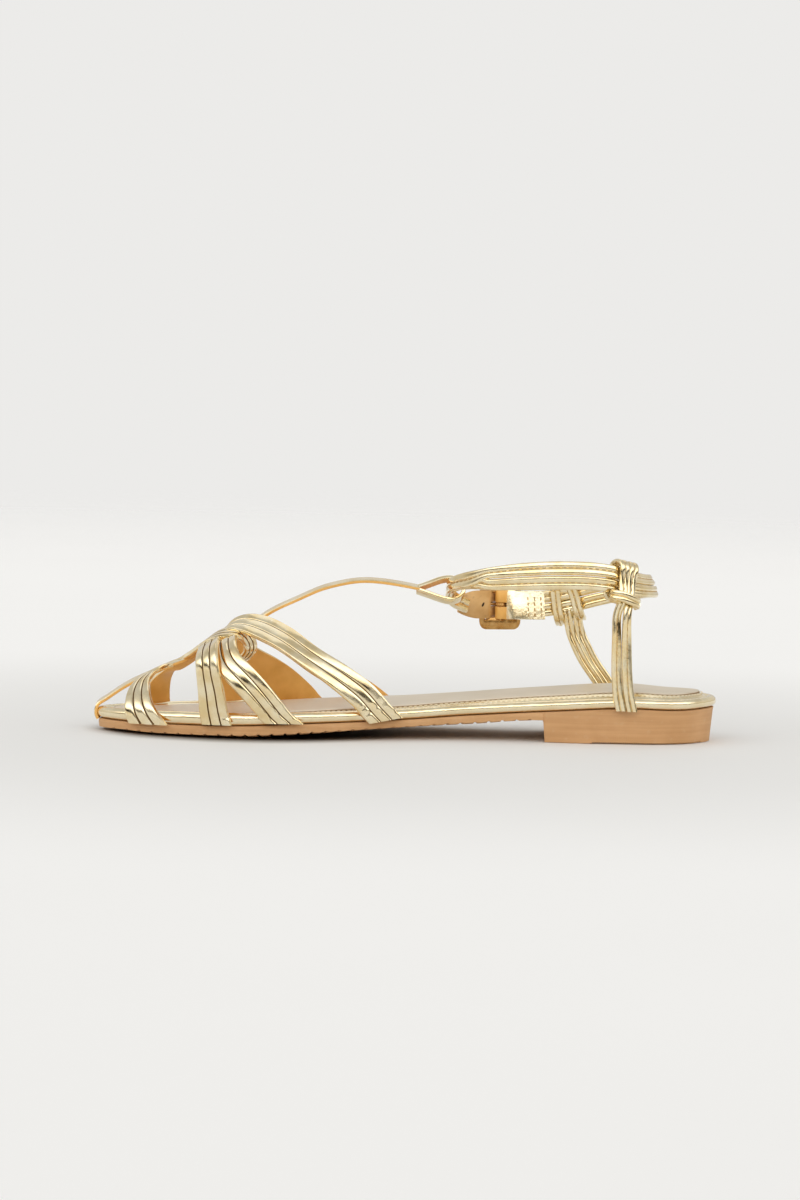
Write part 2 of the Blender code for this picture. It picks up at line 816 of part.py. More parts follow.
def make_heel_strap(name, finish):
    """Double strap from the rim to the ankle strap, hitched round it by a loop."""
    plan = HEEL_STRAPS[name]
    centre, forward, out, up, half = ankle_place(plan["hitch_at"], plan["side"])
    rise = np.stack([plan["rise"][column] for column in ("along", "across", "height")], 1)
    foot_side = np.array([float(plan["side"]), 0.0, 0.0])
    pieces = []
    for hand in (-1, 1):
        local = np.stack([HITCH["side"] * hand, HITCH["out"], HITCH["up"] + HITCH["edge"] * half], 1)
        hitch = centre + local @ np.stack([forward, out, up])
        lower = rise + foot_side * hand * STRAND_PITCH / 2
        lower[0, 2] += STAGGER * hand
        rows = np.concatenate([lower, hitch])
        travelled = np.append(0, np.cumsum(np.linalg.norm(np.diff(rows, axis=0), axis=1)))
        risen = travelled[len(rise) - 1]
        stops = np.append(
            np.linspace(0, risen, RISE_CUTS + 1)[:-1],
            np.linspace(risen, travelled[-1], HITCH_CUTS),
        )
        points = free_curve(travelled, rows, stops)
        heading = unit(np.gradient(points, axis=0))
        turned = np.clip((stops - travelled[1]) / (travelled[4] - travelled[1]), 0, 1)[:, None]
        sideways = forward * turned + foot_side * (1 - turned)
        facing = unit(np.cross(heading, sideways))
        pieces.append(
            band(f"{name}_{hand}", points, facing, STRAND_WIDE, HEEL_STRAP_THICK, 2, finish, (0,))
        )
    bar = route(HITCH_BAR, ("side", "out"), 11)
    bar_points = centre + np.outer(bar[:, 0], forward) + np.outer(bar[:, 1], out)
    bar_points = bar_points - up * (half + BAR_DROP)
    pieces.append(
        flat_strip(f"{name}_bar", bar_points, up[None, :], BAR_HEIGHT, HEEL_STRAP_THICK, finish)
    )
    return combined(name, pieces)


# ---------------------------------------------------------------- buckle
# The buckle lies flat on the outer side. Its own axes: run towards the heel,
# out from the ankle, and up, with the middle bar at their centre.
BUCKLE_CENTRE = np.array([38.0, 27.2, 51.8])
BUCKLE_YAW = math.radians(12)
RUN = np.array([math.cos(BUCKLE_YAW), math.sin(BUCKLE_YAW), 0.0])
OUT = np.array([-math.sin(BUCKLE_YAW), math.cos(BUCKLE_YAW), 0.0])
UP = np.array([0.0, 0.0, 1.0])
FRAME_RUN = 17.5
FRAME_HIGH = 19.0
FRAME_BAR = 2.2
FRAME_THICK = 1.8
FRAME_SIDES = 8
FRAME_CORNER = 2.6
FRAME_HANG = -0.8  # the frame hangs this far below the middle of the strap
BAR_RADIUS = 0.8
TAB_WIDTH = 12.0
WRAP = BAR_RADIUS + CLEAR
TAB_PLY = 1.0
TAB_TAIL = 17.6  # end of the tab, sewn behind the ankle strap
TAB_BACK = -3.15  # outer face of its tail
END_THICK = 1.1
END_CUTS = 27
PRONG_RADIUS = 0.75
SLOT_HALF = 1.2  # half the height of the openings that the prong passes
CUT_REACH = 4.0  # cutters run this far past what they cut


def by_buckle(points):
    """Places in the buckle's own axes brought to the shoe's."""
    return BUCKLE_CENTRE + np.asarray(points) @ np.stack([RUN, OUT, UP])


def rod(name, path, radius, sides, finish, closed=False):
    """Round bar along a path given in the buckle's axes."""
    path = by_buckle(path)
    if closed:
        forward = unit(np.roll(path, -1, 0) - np.roll(path, 1, 0))
    else:
        forward = unit(np.gradient(path, axis=0))
    first = unit(np.cross(forward, OUT if closed else UP + 0.01 * OUT))
    second = np.cross(forward, first)
    turn = np.arange(sides) * 2 * math.pi / sides
    sections = (
        path[:, None]
        + first[:, None] * (np.cos(turn) * radius)[None, :, None]
        + second[:, None] * (np.sin(turn) * radius)[None, :, None]
    )
    vertices, faces = skinned(sections, closed)
    return solid(name, vertices, faces, finish)


def make_buckle_frame(finish):
    """Rectangular frame with round corners and a bar across its middle."""
    half_run = (FRAME_RUN - FRAME_BAR) / 2
    half_high = (FRAME_HIGH - FRAME_BAR) / 2
    centre_line = []
    for turn in range(4):
        sign_run = (1, -1, -1, 1)[turn]
        sign_high = (1, 1, -1, -1)[turn]
        for step in np.linspace(0, math.pi / 2, 5):
            angle = turn * math.pi / 2 + step
            centre_line.append(
                (
                    sign_run * (half_run - FRAME_CORNER) + FRAME_CORNER * math.cos(angle),
                    0.0,
                    sign_high * (half_high - FRAME_CORNER) + FRAME_CORNER * math.sin(angle) + FRAME_HANG,
                )
            )
    rim = np.array(centre_line)
    forward = unit(np.roll(rim, -1, 0) - np.roll(rim, 1, 0))
    inward = np.cross([0.0, 1.0, 0.0], forward)
    around = np.radians(np.arange(FRAME_SIDES) * 360 / FRAME_SIDES + 180 / FRAME_SIDES)
    corners = [(math.cos(a) / math.cos(around[0]), math.sin(a) / math.cos(around[0])) for a in around]
    sections = np.stack(
        [
            rim + inward * (a * FRAME_BAR / 2) + np.array([0.0, 1.0, 0.0]) * (b * FRAME_THICK / 2)
            for a, b in corners
        ],
        1,
    )
    vertices, faces = skinned(by_buckle(sections), closed=True)
    frame = solid("buckle_frame", vertices, faces, finish)
    reach = half_high + 0.3
    path = np.array([[0.0, 0.0, FRAME_HANG - reach], [0.0, 0.0, FRAME_HANG + reach]])
    bar = rod("middle_bar", path, BAR_RADIUS, 12, finish)
    return combined("buckle_frame", [frame, bar])


def make_buckle_prong(finish):
    """Prong curled round the middle bar, its tip resting on the frame's front bar."""
    rows = table(
        "run out",
        (-1.7, -1.1),
        (-0.8, -1.85),
        (0.6, -1.95),
        (1.85, -0.8),
        (1.95, 0.6),
        (0.8, 1.9),
        (-1.6, 2.3),
        (-4.6, 2.2),
        (-7.4, 1.95),
        (-9.6, 1.8),
    )
    flat = route(rows, ("run", "out"), 18)
    path = np.column_stack([flat, np.zeros(len(flat))])
    return rod("buckle_prong", path, PRONG_RADIUS, 8, finish)


def slab(name, edge, low, high, finish):
    """Block with an edge drawn in the run and out plane, standing from low to high."""
    edge = np.asarray(edge, float)
    sections = [np.column_stack([edge, np.full(len(edge), end)]) for end in (low, high)]
    vertices, faces = skinned(by_buckle(np.array(sections)))
    return solid(name, vertices, faces, finish)


def make_buckle_tab(finish):
    """Leather tab folded round the middle bar and sewn behind the ankle strap."""
    radius = WRAP + TAB_PLY
    turn = np.linspace(math.pi / 2, 3 * math.pi / 2, 9)
    fold = [(radius * math.cos(a), radius * math.sin(a)) for a in turn]
    inside = TAB_BACK - 2 * TAB_PLY
    edge = [*fold, (3.4, TAB_BACK - 1.6), (5.4, inside), (TAB_TAIL, inside)]
    edge += [(TAB_TAIL, TAB_BACK), (5.6, TAB_BACK), (4.4, TAB_BACK + 0.8), (1.8, 1.3)]
    body = slab("buckle_tab", edge, -TAB_WIDTH / 2, TAB_WIDTH / 2, finish)
    ring = np.linspace(0, 2 * math.pi, 13)[:-1] + 0.11
    hole_edge = [(WRAP * math.cos(a), WRAP * math.sin(a)) for a in ring]
    half = TAB_WIDTH / 2 + CUT_REACH
    hole = slab("bar_hole", hole_edge, -half, half, finish)
    slot_end = WRAP + 2.05
    slot_edge = [
        (-CUT_REACH, -CUT_REACH),
        (slot_end, -CUT_REACH),
        (slot_end, CUT_REACH),
        (-CUT_REACH, CUT_REACH),
    ]
    slot = slab("prong_slot", slot_edge, -SLOT_HALF, SLOT_HALF, finish)
    return combined("buckle_tab", [body, hole, slot], "DIFFERENCE")


def make_strap_end(finish):
    """Single-ply end of the strap, through the frame and over the middle bar."""
    rows = table(
        "run out width",
        (-18.6, -3.8, 6.4),
        (-15.0, -2.4, 9.4),
        (-11.6, -1.9, 11.2),
        (-8.4, -1.8, 11.6),
        (-6.2, -1.7, 11.6),
        (-4.4, -0.1, 11.6),
        (-2.2, 2.7, 11.6),
        (0.2, 3.75, 11.6),
        (2.4, 2.9, 11.6),
        (4.4, 0.4, 11.6),
        (6.2, -1.7, 11.6),
        (8.6, -1.8, 11.4),
        (11.0, -1.8, 10.0),
        (13.0, -1.8, 6.0),
    )
    flat = route(rows, ("run", "out", "width"), END_CUTS)
    path = by_buckle(np.column_stack([flat[:, :2], np.zeros(len(flat))]))
    strip = flat_strip("strap_end", path, UP[None, :], flat[:, 2:3], END_THICK, finish)
    hole_edge = [(-4.6, -CUT_REACH), (0.9, -CUT_REACH), (0.9, 6.0), (-4.6, 6.0)]
    hole = slab("prong_hole", hole_edge, -SLOT_HALF, SLOT_HALF, finish)
    return combined("strap_end", [strip, hole], "DIFFERENCE")


# ---------------------------------------------------------------- building
def clear_scene():
    """Empties the file's scene."""
    for item in list(bpy.data.objects):
        bpy.data.objects.remove(item, do_unlink=True)


clear_scene()
GOLD_LEATHER = material("gold leather", (0.78, 0.66, 0.42), 0.3, 0.85)
SOCK_LEATHER = material("sock leather", (0.66, 0.55, 0.38), 0.5, 0.3)
TAN_LEATHER = material("tan leather", (0.62, 0.36, 0.15), 0.55, 0.0)
SOLE_RUBBER = material("sole rubber", (0.52, 0.3, 0.16), 0.6, 0.0)
GOLD_METAL = material("buckle metal", (0.7, 0.5, 0.22), 0.3, 1.0)
make_outsole(SOLE_RUBBER)
make_footbed(GOLD_LEATHER)
make_sock(SOCK_LEATHER)
make_vamp(GOLD_LEATHER)
make_ankle_strap(GOLD_LEATHER)
for strap_name in HEEL_STRAPS:
    make_heel_strap(strap_name, GOLD_LEATHER)
make_buckle_frame(GOLD_METAL)
make_buckle_prong(GOLD_METAL)
make_buckle_tab(GOLD_LEATHER)
make_strap_end(TAN_LEATHER)
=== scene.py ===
"""Looks of a flat strappy sandal for a right foot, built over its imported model.

The sections follow the making: studio, moulded outsole, footbed, insole sock,
vamp straps, ankle strap, heel straps and buckle. Toe towards -X, heel towards
+X, inner side of the foot towards -Y. Shapes are worked out in millimetres and
become metres when a mesh is made.
"""

import math

import bmesh
import bpy
import numpy as np
from mathutils import Matrix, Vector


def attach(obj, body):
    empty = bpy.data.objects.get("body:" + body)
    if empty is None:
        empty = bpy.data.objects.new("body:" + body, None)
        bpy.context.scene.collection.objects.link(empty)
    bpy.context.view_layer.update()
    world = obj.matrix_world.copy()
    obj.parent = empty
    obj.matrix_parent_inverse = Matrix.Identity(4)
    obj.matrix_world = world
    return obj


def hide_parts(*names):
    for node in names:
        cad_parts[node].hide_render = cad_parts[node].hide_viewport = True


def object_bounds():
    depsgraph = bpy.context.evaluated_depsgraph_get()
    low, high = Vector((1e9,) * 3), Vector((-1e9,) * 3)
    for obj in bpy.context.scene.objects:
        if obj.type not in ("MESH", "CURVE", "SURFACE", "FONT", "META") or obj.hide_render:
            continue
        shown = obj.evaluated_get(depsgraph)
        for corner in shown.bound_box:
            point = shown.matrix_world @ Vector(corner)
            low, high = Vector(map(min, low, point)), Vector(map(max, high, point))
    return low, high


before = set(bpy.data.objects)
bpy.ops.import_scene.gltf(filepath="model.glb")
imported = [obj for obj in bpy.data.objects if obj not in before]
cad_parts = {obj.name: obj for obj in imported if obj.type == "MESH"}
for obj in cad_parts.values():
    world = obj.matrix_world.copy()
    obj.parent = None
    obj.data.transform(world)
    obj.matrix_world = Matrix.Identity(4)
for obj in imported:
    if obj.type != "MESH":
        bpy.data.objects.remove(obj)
cad_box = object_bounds()

METRE = 0.001

# ---------------------------------------------------------------- studio
# A pale sweep under a wide soft box. The foil leather mirrors what stands in
# front of it in streaks: a lit card, an unlit gap, soft boxes. The camera is a
# little above the sandal, square to its inner side, and leans slightly.
VIEW_RISE = math.radians(3.7)
VIEW_ROLL = math.radians(1.2)
VIEW_DISTANCE = 1.6
VIEW_SHIFT = (-0.0034, 0.0, 0.0174)  # aim, from the middle of the sandal's box
VIEW_LENS, VIEW_REACH = 118.3, 20.0
BACKDROP = (0.838, 0.831, 0.815)  # radiance of the sweep behind the sandal

middle = [(low + high) / 2 for low, high in zip(*cad_box)]
back = np.array([0.0, -math.cos(VIEW_RISE), math.sin(VIEW_RISE)])
upright = np.array([0.0, math.sin(VIEW_RISE), math.cos(VIEW_RISE)])
level_right = np.array([1.0, 0.0, 0.0])
right = level_right * math.cos(VIEW_ROLL) + upright * math.sin(VIEW_ROLL)
top = upright * math.cos(VIEW_ROLL) - level_right * math.sin(VIEW_ROLL)
stand = np.array(middle) + VIEW_SHIFT + back * VIEW_DISTANCE


def placed(across, over, away, place):
    """Matrix that turns an object's axes to three directions, at a place."""
    rows = [(across[axis], over[axis], away[axis], place[axis]) for axis in range(3)]
    return Matrix(rows + [(0.0, 0.0, 0.0, 1.0)])


camera = bpy.data.objects.new("camera", bpy.data.cameras.new("camera"))
camera.data.lens = VIEW_LENS
camera.data.clip_end = VIEW_REACH
camera.matrix_world = placed(right, top, back, stand)
bpy.context.scene.collection.objects.link(camera)
bpy.context.scene.camera = camera
bpy.context.scene.view_settings.view_transform = "Standard"


class Signal:
    """A value on its way through a material: arithmetic on it adds Math nodes."""

    def __init__(self, tree, socket=None):
        self.tree, self.socket = tree, socket

    def node(self, kind, settings, inputs, output=0):
        """Any other node: its settings first, then its sockets' values or links."""
        made = self.tree.nodes.new("ShaderNode" + kind)
        for setting, value in settings.items():
            if setting == "stops":
                ramp = made.color_ramp.elements
                for index, (place, colour) in enumerate(value):
                    stop = ramp[index] if index < 2 else ramp.new(place)
                    stop.position, stop.color = place, (*colour, 1.0)
            else:
                setattr(made, setting, value)
        for key, value in inputs.items():
            if isinstance(value, Signal):
                self.tree.links.new(value.socket, made.inputs[key])
            else:
                made.inputs[key].default_value = value
        return Signal(self.tree, made.outputs[output])

    def maths(self, operation, first, second):
        return self.node("Math", {"operation": operation}, {0: first, 1: second})

    def __add__(self, other):
        return self.maths("ADD", self, other)

    def __sub__(self, other):
        return self.maths("SUBTRACT", self, other)

    def __rsub__(self, other):
        return self.maths("SUBTRACT", other, self)

    def __mul__(self, other):
        return self.maths("MULTIPLY", self, other)

    def __pow__(self, other):
        return self.maths("POWER", self, other)

    __radd__, __rmul__ = __add__, __mul__

    def between(self, low, high):
        """Soft step: 0 up to low, 1 from high."""
        ends = {"Value": self, "From Min": low, "From Max": high}
        return self.node("MapRange", {"interpolation_type": "SMOOTHSTEP"}, ends)

    def part(self, axis):
        """One component of a place."""
        return self.node("SeparateXYZ", {}, {0: self}, axis)

    def stretched(self, *scale):
        """A place scaled along its axes."""
        return self.node("VectorMath", {"operation": "MULTIPLY"}, {0: self, 1: scale})

    def noise(self, scale, detail=3.0):
        """Cloudy value from 0 to 1, with features of 1 / scale."""
        return self.node("TexNoise", {}, {"Vector": self, "Scale": scale, "Detail": detail})

    def tint(self, low, high):
        """Colour from low to high as the value goes from 0 to 1."""
        ends = [end if isinstance(end, Signal) else (*end, 1.0) for end in (low, high)]
        inputs = {0: self, 6: ends[0], 7: ends[1]}
        return self.node("Mix", {"data_type": "RGBA"}, inputs, 2)

    def relief(self, strength, depth):
        """Normals of a height in millimetres times depth."""
        inputs = {"Height": self, "Distance": depth * METRE, "Strength": strength}
        return self.node("Bump", {}, inputs, "Normal")


def new_finish(name, **constants):
    """Material with some sockets of its shader set, and places in the object."""
    made = bpy.data.materials.new(name)
    made.use_nodes = True
    for socket, value in constants.items():
        shader = made.node_tree.nodes["Principled BSDF"]
        shader.inputs[socket.replace("_", " ")].default_value = value
    return made, Signal(made.node_tree).node("TexCoord", {}, {}, "Object")


def finished(made, **signals):
    """The material, with signals linked to sockets of its shader."""
    for socket, signal in signals.items():
        shader = made.node_tree.nodes["Principled BSDF"]
        made.node_tree.links.new(signal.socket, shader.inputs[socket.replace("_", " ")])
    return made


# Radiance of the studio in front of the sandal, by the sine of the height: a
# lit card, an unlit gap above it, then the soft boxes and the ceiling.
FRONT_TONES = (
    (-0.10, 0.60), (-0.02, 0.75), (0.02, 1.10), (0.042, 0.95), (0.062, 0.02), (0.21, 0.03),
    (0.28, 1.1), (0.37, 2.1), (0.62, 2.1), (0.80, 0.9), (0.95, 0.55),
)
BACK_TONES = ((-0.10, 0.50), (0.0, 0.62), (0.4, 0.72), (0.6, 0.57), (1.0, 0.55))
FRONT_TO_BACK, WALL_TO_CEILING = (-0.35, 0.25), (0.3, 0.75)
WARM_WALL, COOL_CEILING = (1.0, 0.955, 0.87), (1.0, 0.995, 0.985)


def studio_world():
    """Even backdrop to the camera; card, gap, boxes and ceiling to everything else.

    Radiance is a ramp of the height for the front and another for the back, mixed
    by a soft step of the direction; its tint goes from warm walls to a cool ceiling.
    """
    world = bpy.data.worlds.new("studio")
    bpy.context.scene.world = world
    world.use_nodes = True
    start = Signal(world.node_tree)
    heading = start.node("TexCoord", {}, {}, "Generated")
    height, towards = heading.part(2), heading.part(1)
    lowest = FRONT_TONES[0][0]
    ramps = []
    for tones in (FRONT_TONES, BACK_TONES):
        stops = [((sine - lowest) / (1 - lowest), (tone,) * 3) for sine, tone in tones]
        spread = height.node("MapRange", {}, {"Value": height, "From Min": lowest})
        ramps.append(spread.node("ValToRGB", {"stops": stops}, {0: spread}))
    tone = towards.between(*FRONT_TO_BACK).tint(*ramps)
    wash = height.between(*WALL_TO_CEILING).tint(WARM_WALL, COOL_CEILING)
    lit = tone.node("VectorMath", {"operation": "MULTIPLY"}, {0: tone, 1: wash})
    seen = start.node("LightPath", {}, {}, "Is Camera Ray")
    shader = world.node_tree.nodes["Background"]
    world.node_tree.links.new(seen.tint(lit, BACKDROP).socket, shader.inputs["Color"])


studio_world()


def unit(vectors):
    """Vectors brought to length one."""
    return vectors / np.linalg.norm(vectors, axis=-1, keepdims=True)


def full_turn(count):
    """Angles evenly round a circle."""
    return np.linspace(0, 2 * math.pi, count, endpoint=False)


def skin(points, kind=0, ends=False, looped=False):
    """Quads over a grid of places: rows run along, columns go around.

    A quad joins a place to the next in its row and the next in its column; kind
    is its finish, one number or one for each column. Each corner keeps how far
    along and how far around it lies, in millimetres.
    """
    rows, columns = points.shape[:2]
    steps = (np.arange(rows if looped else rows - 1), np.arange(columns))
    row, column = [side.ravel() for side in np.meshgrid(*steps, indexing="ij")]
    here, ahead = row * columns, (row + 1) % rows * columns
    beside = (column + 1) % columns
    quads = np.stack([here + column, here + beside, ahead + beside, ahead + column], -1)
    sizes = [np.linalg.norm(np.roll(points, -1, way) - points, axis=-1) for way in (0, 1)]
    along, around = [np.append(0, np.cumsum(sizes[way].mean(1 - way))) for way in (0, 1)]
    runs = np.stack([along[row], along[row], along[row + 1], along[row + 1]], -1)
    girths = np.stack([around[column], around[column + 1]] * 2, -1)[:, [0, 1, 3, 2]]
    kinds = np.broadcast_to(kind, columns)[column]
    caps = [list(range(at, at + columns)) for at in (0, (rows - 1) * columns)] if ends else []
    return points.reshape(-1, 3), quads, np.stack([runs, girths], -1), kinds, caps


SHARP = math.radians(42)
MERGE, COLLAPSE = 1e-7, 1e-8  # metres


def new_object(name, skins, finishes):
    """One mesh from its skins, with seams closed and faces outward."""
    vertices, faces, surface, kinds = [], [], [], []
    start = 0
    for points, quads, corners, marks, caps in skins:
        vertices.append(points)
        faces += (quads + start).tolist() + [[start + corner for corner in cap] for cap in caps]
        surface += [corners.reshape(-1, 2), np.zeros((sum(len(cap) for cap in caps), 2))]
        kinds += [marks, np.zeros(len(caps), int)]
        start += len(points)
    mesh = bpy.data.meshes.new(name)
    mesh.from_pydata((np.concatenate(vertices) * METRE).tolist(), [], faces)
    layer = mesh.uv_layers.new(name="surface")
    layer.data.foreach_set("uv", (np.concatenate(surface) * METRE).astype(np.float32).ravel())
    mesh.polygons.foreach_set("material_index", np.concatenate(kinds).astype(np.int32))
    shape = bmesh.new()
    shape.from_mesh(mesh)
    bmesh.ops.remove_doubles(shape, verts=shape.verts, dist=MERGE)
    bmesh.ops.dissolve_degenerate(shape, edges=shape.edges, dist=COLLAPSE)
    bmesh.ops.recalc_face_normals(shape, faces=shape.faces)
    shape.to_mesh(mesh)
    shape.free()
    mesh.shade_smooth()
    mesh.set_sharp_from_angle(angle=SHARP)
    for material in finishes:
        mesh.materials.append(material)
    made = bpy.data.objects.new(name, mesh)
    bpy.context.scene.collection.objects.link(made)
    return made


CEILING_BOX = (0.0, 1.2, 2.0)  # its place in metres, facing the sandal
CEILING_SIZE, CEILING_POWER = 1.6, 4.0
lamp = bpy.data.lights.new("ceiling_box", "AREA")
lamp.size, lamp.energy = CEILING_SIZE, CEILING_POWER
ceiling = bpy.data.objects.new("ceiling_box", lamp)
away = unit(np.array(CEILING_BOX))
side = unit(np.cross((0.0, 1.0, 0.0), away))
ceiling.matrix_world = placed(side, np.cross(away, side), away, CEILING_BOX)
bpy.context.scene.collection.objects.link(ceiling)

FLOOR_REACH = 3000.0  # millimetres
FLOOR_RINGS, FLOOR_SPOKES = 24, 96
FLOOR_FADE, PAINTED_SHADE_REACH = (1.0, 2.6), (0.12, 0.45)  # metres
# Painted shade: the paper is darker near the sandal and reaches its own pale tone away from it.
PAPER_IN_PAINTED_SHADE, PAPER_FAR = (0.79, 0.795, 0.795), (0.935, 0.942, 0.95)
PAINTED_SHADOW = (-0.064, 0.050, 0.040)  # middle and half sizes of the painted contact shadow under the forepart
PAINTED_SHADOW_EDGE, PAINTED_SHADOW_TONE = (0.55, 1.9), (0.04, 0.032, 0.025)


def lay_floor():
    """Disc whose rings lie at reach times share squared; it fades out far away.

    Painted shade darkens its paper near the sandal and fades away from it. To the
    camera alone a painted contact shadow darkens it under the forepart, by a soft
    step of (x / half)^2 + (y / half)^2.
    """
    share = np.linspace(0, 1, FLOOR_RINGS + 1)[:, None] ** 2 * FLOOR_REACH
    turn = -full_turn(FLOOR_SPOKES)[None]
    points = np.stack([share * np.cos(turn), share * np.sin(turn), 0 * share * turn], -1)
    sweep, place = new_finish("pale_sweep", Roughness=0.7, Specular_IOR_Level=0.15)
    flat = place.stretched(1.0, 1.0, 0.0)
    reach = flat.node("VectorMath", {"operation": "LENGTH"}, {0: flat}, "Value")
    # random tone, plus painted shade that darkens the paper near the sandal
    tone = place.noise(6.0, 2.0) * 0.1 + reach.between(*PAINTED_SHADE_REACH) * 0.9
    # Painted contact shadow: a dark spot under the forepart, seen by the camera only.
    along, across = place.part(0) - PAINTED_SHADOW[0], place.part(1)
    shadow_round = (along * (1 / PAINTED_SHADOW[1])) ** 2 + (across * (1 / PAINTED_SHADOW[2])) ** 2
    seen = place.node("LightPath", {}, {}, "Is Camera Ray")
    painted_shadow = (1 - shadow_round.between(*PAINTED_SHADOW_EDGE)) * seen
    colour = painted_shadow.tint(tone.tint(PAPER_IN_PAINTED_SHADE, PAPER_FAR), PAINTED_SHADOW_TONE)
    finished(sweep, Base_Color=colour, Alpha=1 - reach.between(*FLOOR_FADE))
    floor = new_object("floor", [skin(points)], [sweep])


lay_floor()

# ---------------------------------------------------------------- outsole
# One moulding of tan rubber with its low heel block. Its side is plain, its
# tread has shallow grooves across that notch the edge, finer under the heel.
TOE_X, HEEL_X = -125.1, 125.8
LENGTH = HEEL_X - TOE_X
BREAST_X = 55.0  # front face of the heel block


def table(columns, *rows):
    """Named columns of a short table written one row to a place."""
    return dict(zip(columns.split(), np.array(rows, float).T))


OUTLINE = table(
    "from_toe inner outer",
    (0, -5, -5), (3.4, -14, 3.5), (8.6, -20, 9.3), (18.8, -27, 16.5), (32.8, -32.3, 24),
    (50.8, -36.8, 31), (68.8, -38.4, 36), (86.8, -37.6, 38.4), (108.8, -33, 38),
    (128.8, -28.5, 35), (150.8, -25.6, 31.2), (175.8, -26, 28.6), (200.8, -27.7, 28.3),
    (221.8, -27.2, 27.2), (237.8, -21.6, 21.6), (245.8, -13.5, 13.5), (LENGTH, 0, 0),
)

LEVELS = table(
    "along tread side_foot inner_joint outer_joint roll margin crown",
    (-125, 0.5, 1.3, 4.7, 4.6, 4.8, 3.6, 10.4), (-121, 0.4, 1.4, 4.8, 4.5, 4.9, 3.6, 12.2),
    (-115, 0.3, 1.6, 4.8, 4.3, 5.1, 3.6, 15.2), (-105, 0, 1.3, 4.8, 4.1, 5.3, 3.6, 19.6),
    (-97, 0, 1.2, 4.8, 4.1, 5.4, 3.7, 23.2), (-84, 0, 1.3, 4.9, 4.1, 5.5, 3.9, 29.4),
    (-76, 0, 1.4, 5, 4.2, 5.4, 4, 33.4), (-64, 0, 1.6, 5.3, 4.5, 5.2, 4.1, 38),
    (-54, 0.6, 2.1, 5.8, 5, 5, 4.2, 41.2), (-38, 1.8, 3.2, 6.7, 5.8, 4.8, 4.3, 45.8),
    (-20, 3, 4.4, 7.4, 6.6, 4.6, 4.5, 50.5), (0, 4.4, 5.6, 8.4, 7.7, 4.5, 4.7, 56),
    (25, 6, 7.3, 10.3, 9.8, 4.5, 5, 63), (54, 8.2, 9.1, 12.3, 12.2, 4.5, 5.5, 70),
    (90, 8.2, 9.1, 14.3, 14.2, 4.4, 5.8, 72), (110, 8.2, 9.1, 13.7, 13.6, 4.5, 5.6, 72),
    (125, 8.2, 9.1, 14.1, 14.1, 4.4, 5.3, 70),
)


def held_curve(knots, values, at):
    """Cubic through the knots that never runs past a value (Fritsch-Carlson slopes)."""
    step = np.diff(knots)
    rise = np.diff(values) / step
    left, right_of = 2 * step[1:] + step[:-1], step[1:] + 2 * step[:-1]
    same = rise[:-1] * rise[1:] > 0
    before, after = [np.where(same, side, 1.0) for side in (rise[:-1], rise[1:])]
    slope = np.where(same, (left + right_of) / (left / before + right_of / after), 0.0)
    slope = np.concatenate([rise[:1], slope, rise[-1:]])
    cell = np.clip(np.searchsorted(knots, at) - 1, 0, len(step) - 1)
    part = np.clip((at - knots[cell]) / step[cell], 0.0, 1.0)
    share = part**2 * (3 - 2 * part)
    bend = (slope[cell] * (1 - part) - slope[cell + 1] * part) * step[cell]
    return values[cell] * (1 - share) + values[cell + 1] * share + bend * part * (1 - part)


def level(column, along):
    """One of the LEVELS at a place along the shoe."""
    return held_curve(LEVELS["along"], LEVELS[column], along)


def round_ends(from_toe):
    """Half turn that rounds toe and heel: arc cosine of 1 minus twice the share, over pi."""
    return np.arccos(np.clip(1 - 2 * from_toe / LENGTH, -1, 1)) / math.pi


def side_y(side, along):
    """Y of the inner or outer outline at a place along the shoe."""
    turn = round_ends(along - TOE_X)
    return held_curve(round_ends(OUTLINE["from_toe"]), OUTLINE[side], turn)


def joint_height(along, across):
    """Seam between outsole and footbed: a straight line from the inner to the outer side."""
    inner, outer = side_y("inner", along), side_y("outer", along)
    share = np.clip((across - inner) / np.maximum(outer - inner, 1.0), 0.0, 1.0)
    low, high = level("inner_joint", along), level("outer_joint", along)
    return low + (high - low) * share


def new_piece(name, node, skins, finishes):
    """One object that stands for a solid of the model."""
    made = new_object(name, skins, finishes)
    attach(made, "root")
    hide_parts(node)


def sole_layer(along, rings, over_columns, under_columns):
    """Closed skin of one layer of the sole.

    Each ring is the outline drawn in by its inset, at its height. A section runs
    across the first ring, down the outer side through the rings, back under the
    last and up the inner side; sections shrink to a line at toe and heel.
    """
    sides = [np.stack([along, side_y(side, along)], 1) for side in ("outer", "inner")]
    loop = np.concatenate([sides[0], sides[1][-2:0:-1]])
    tangent = np.roll(loop, -1, 0) - np.roll(loop, 1, 0)
    outward = unit(np.stack([-tangent[:, 1], tangent[:, 0]], 1))
    count = len(along)
    outer, inner = [], []
    for inset, height in rings:
        drawn_in = inset(loop[:, 0]) if callable(inset) else np.full(len(loop), inset)
        edge = loop - outward * drawn_in[:, None]
        ring = np.column_stack([edge, height(loop[:, 0], edge[:, 1])])
        outer.append(ring[:count])
        inner.append(np.concatenate([ring[:1], ring[: count - 2 : -1]]))
    outer, inner = np.stack(outer, 1), np.stack(inner, 1)
    over = np.linspace(0, 1, over_columns + 1)[None, :-1, None]
    under = np.linspace(0, 1, under_columns + 1)[None, 1:-1, None]
    top = inner[:, :1] + (outer[:, :1] - inner[:, :1]) * over
    base = outer[:, -1:] + (inner[:, -1:] - outer[:, -1:]) * under
    return np.concatenate([top, outer, base, inner[:, :0:-1]], 1)


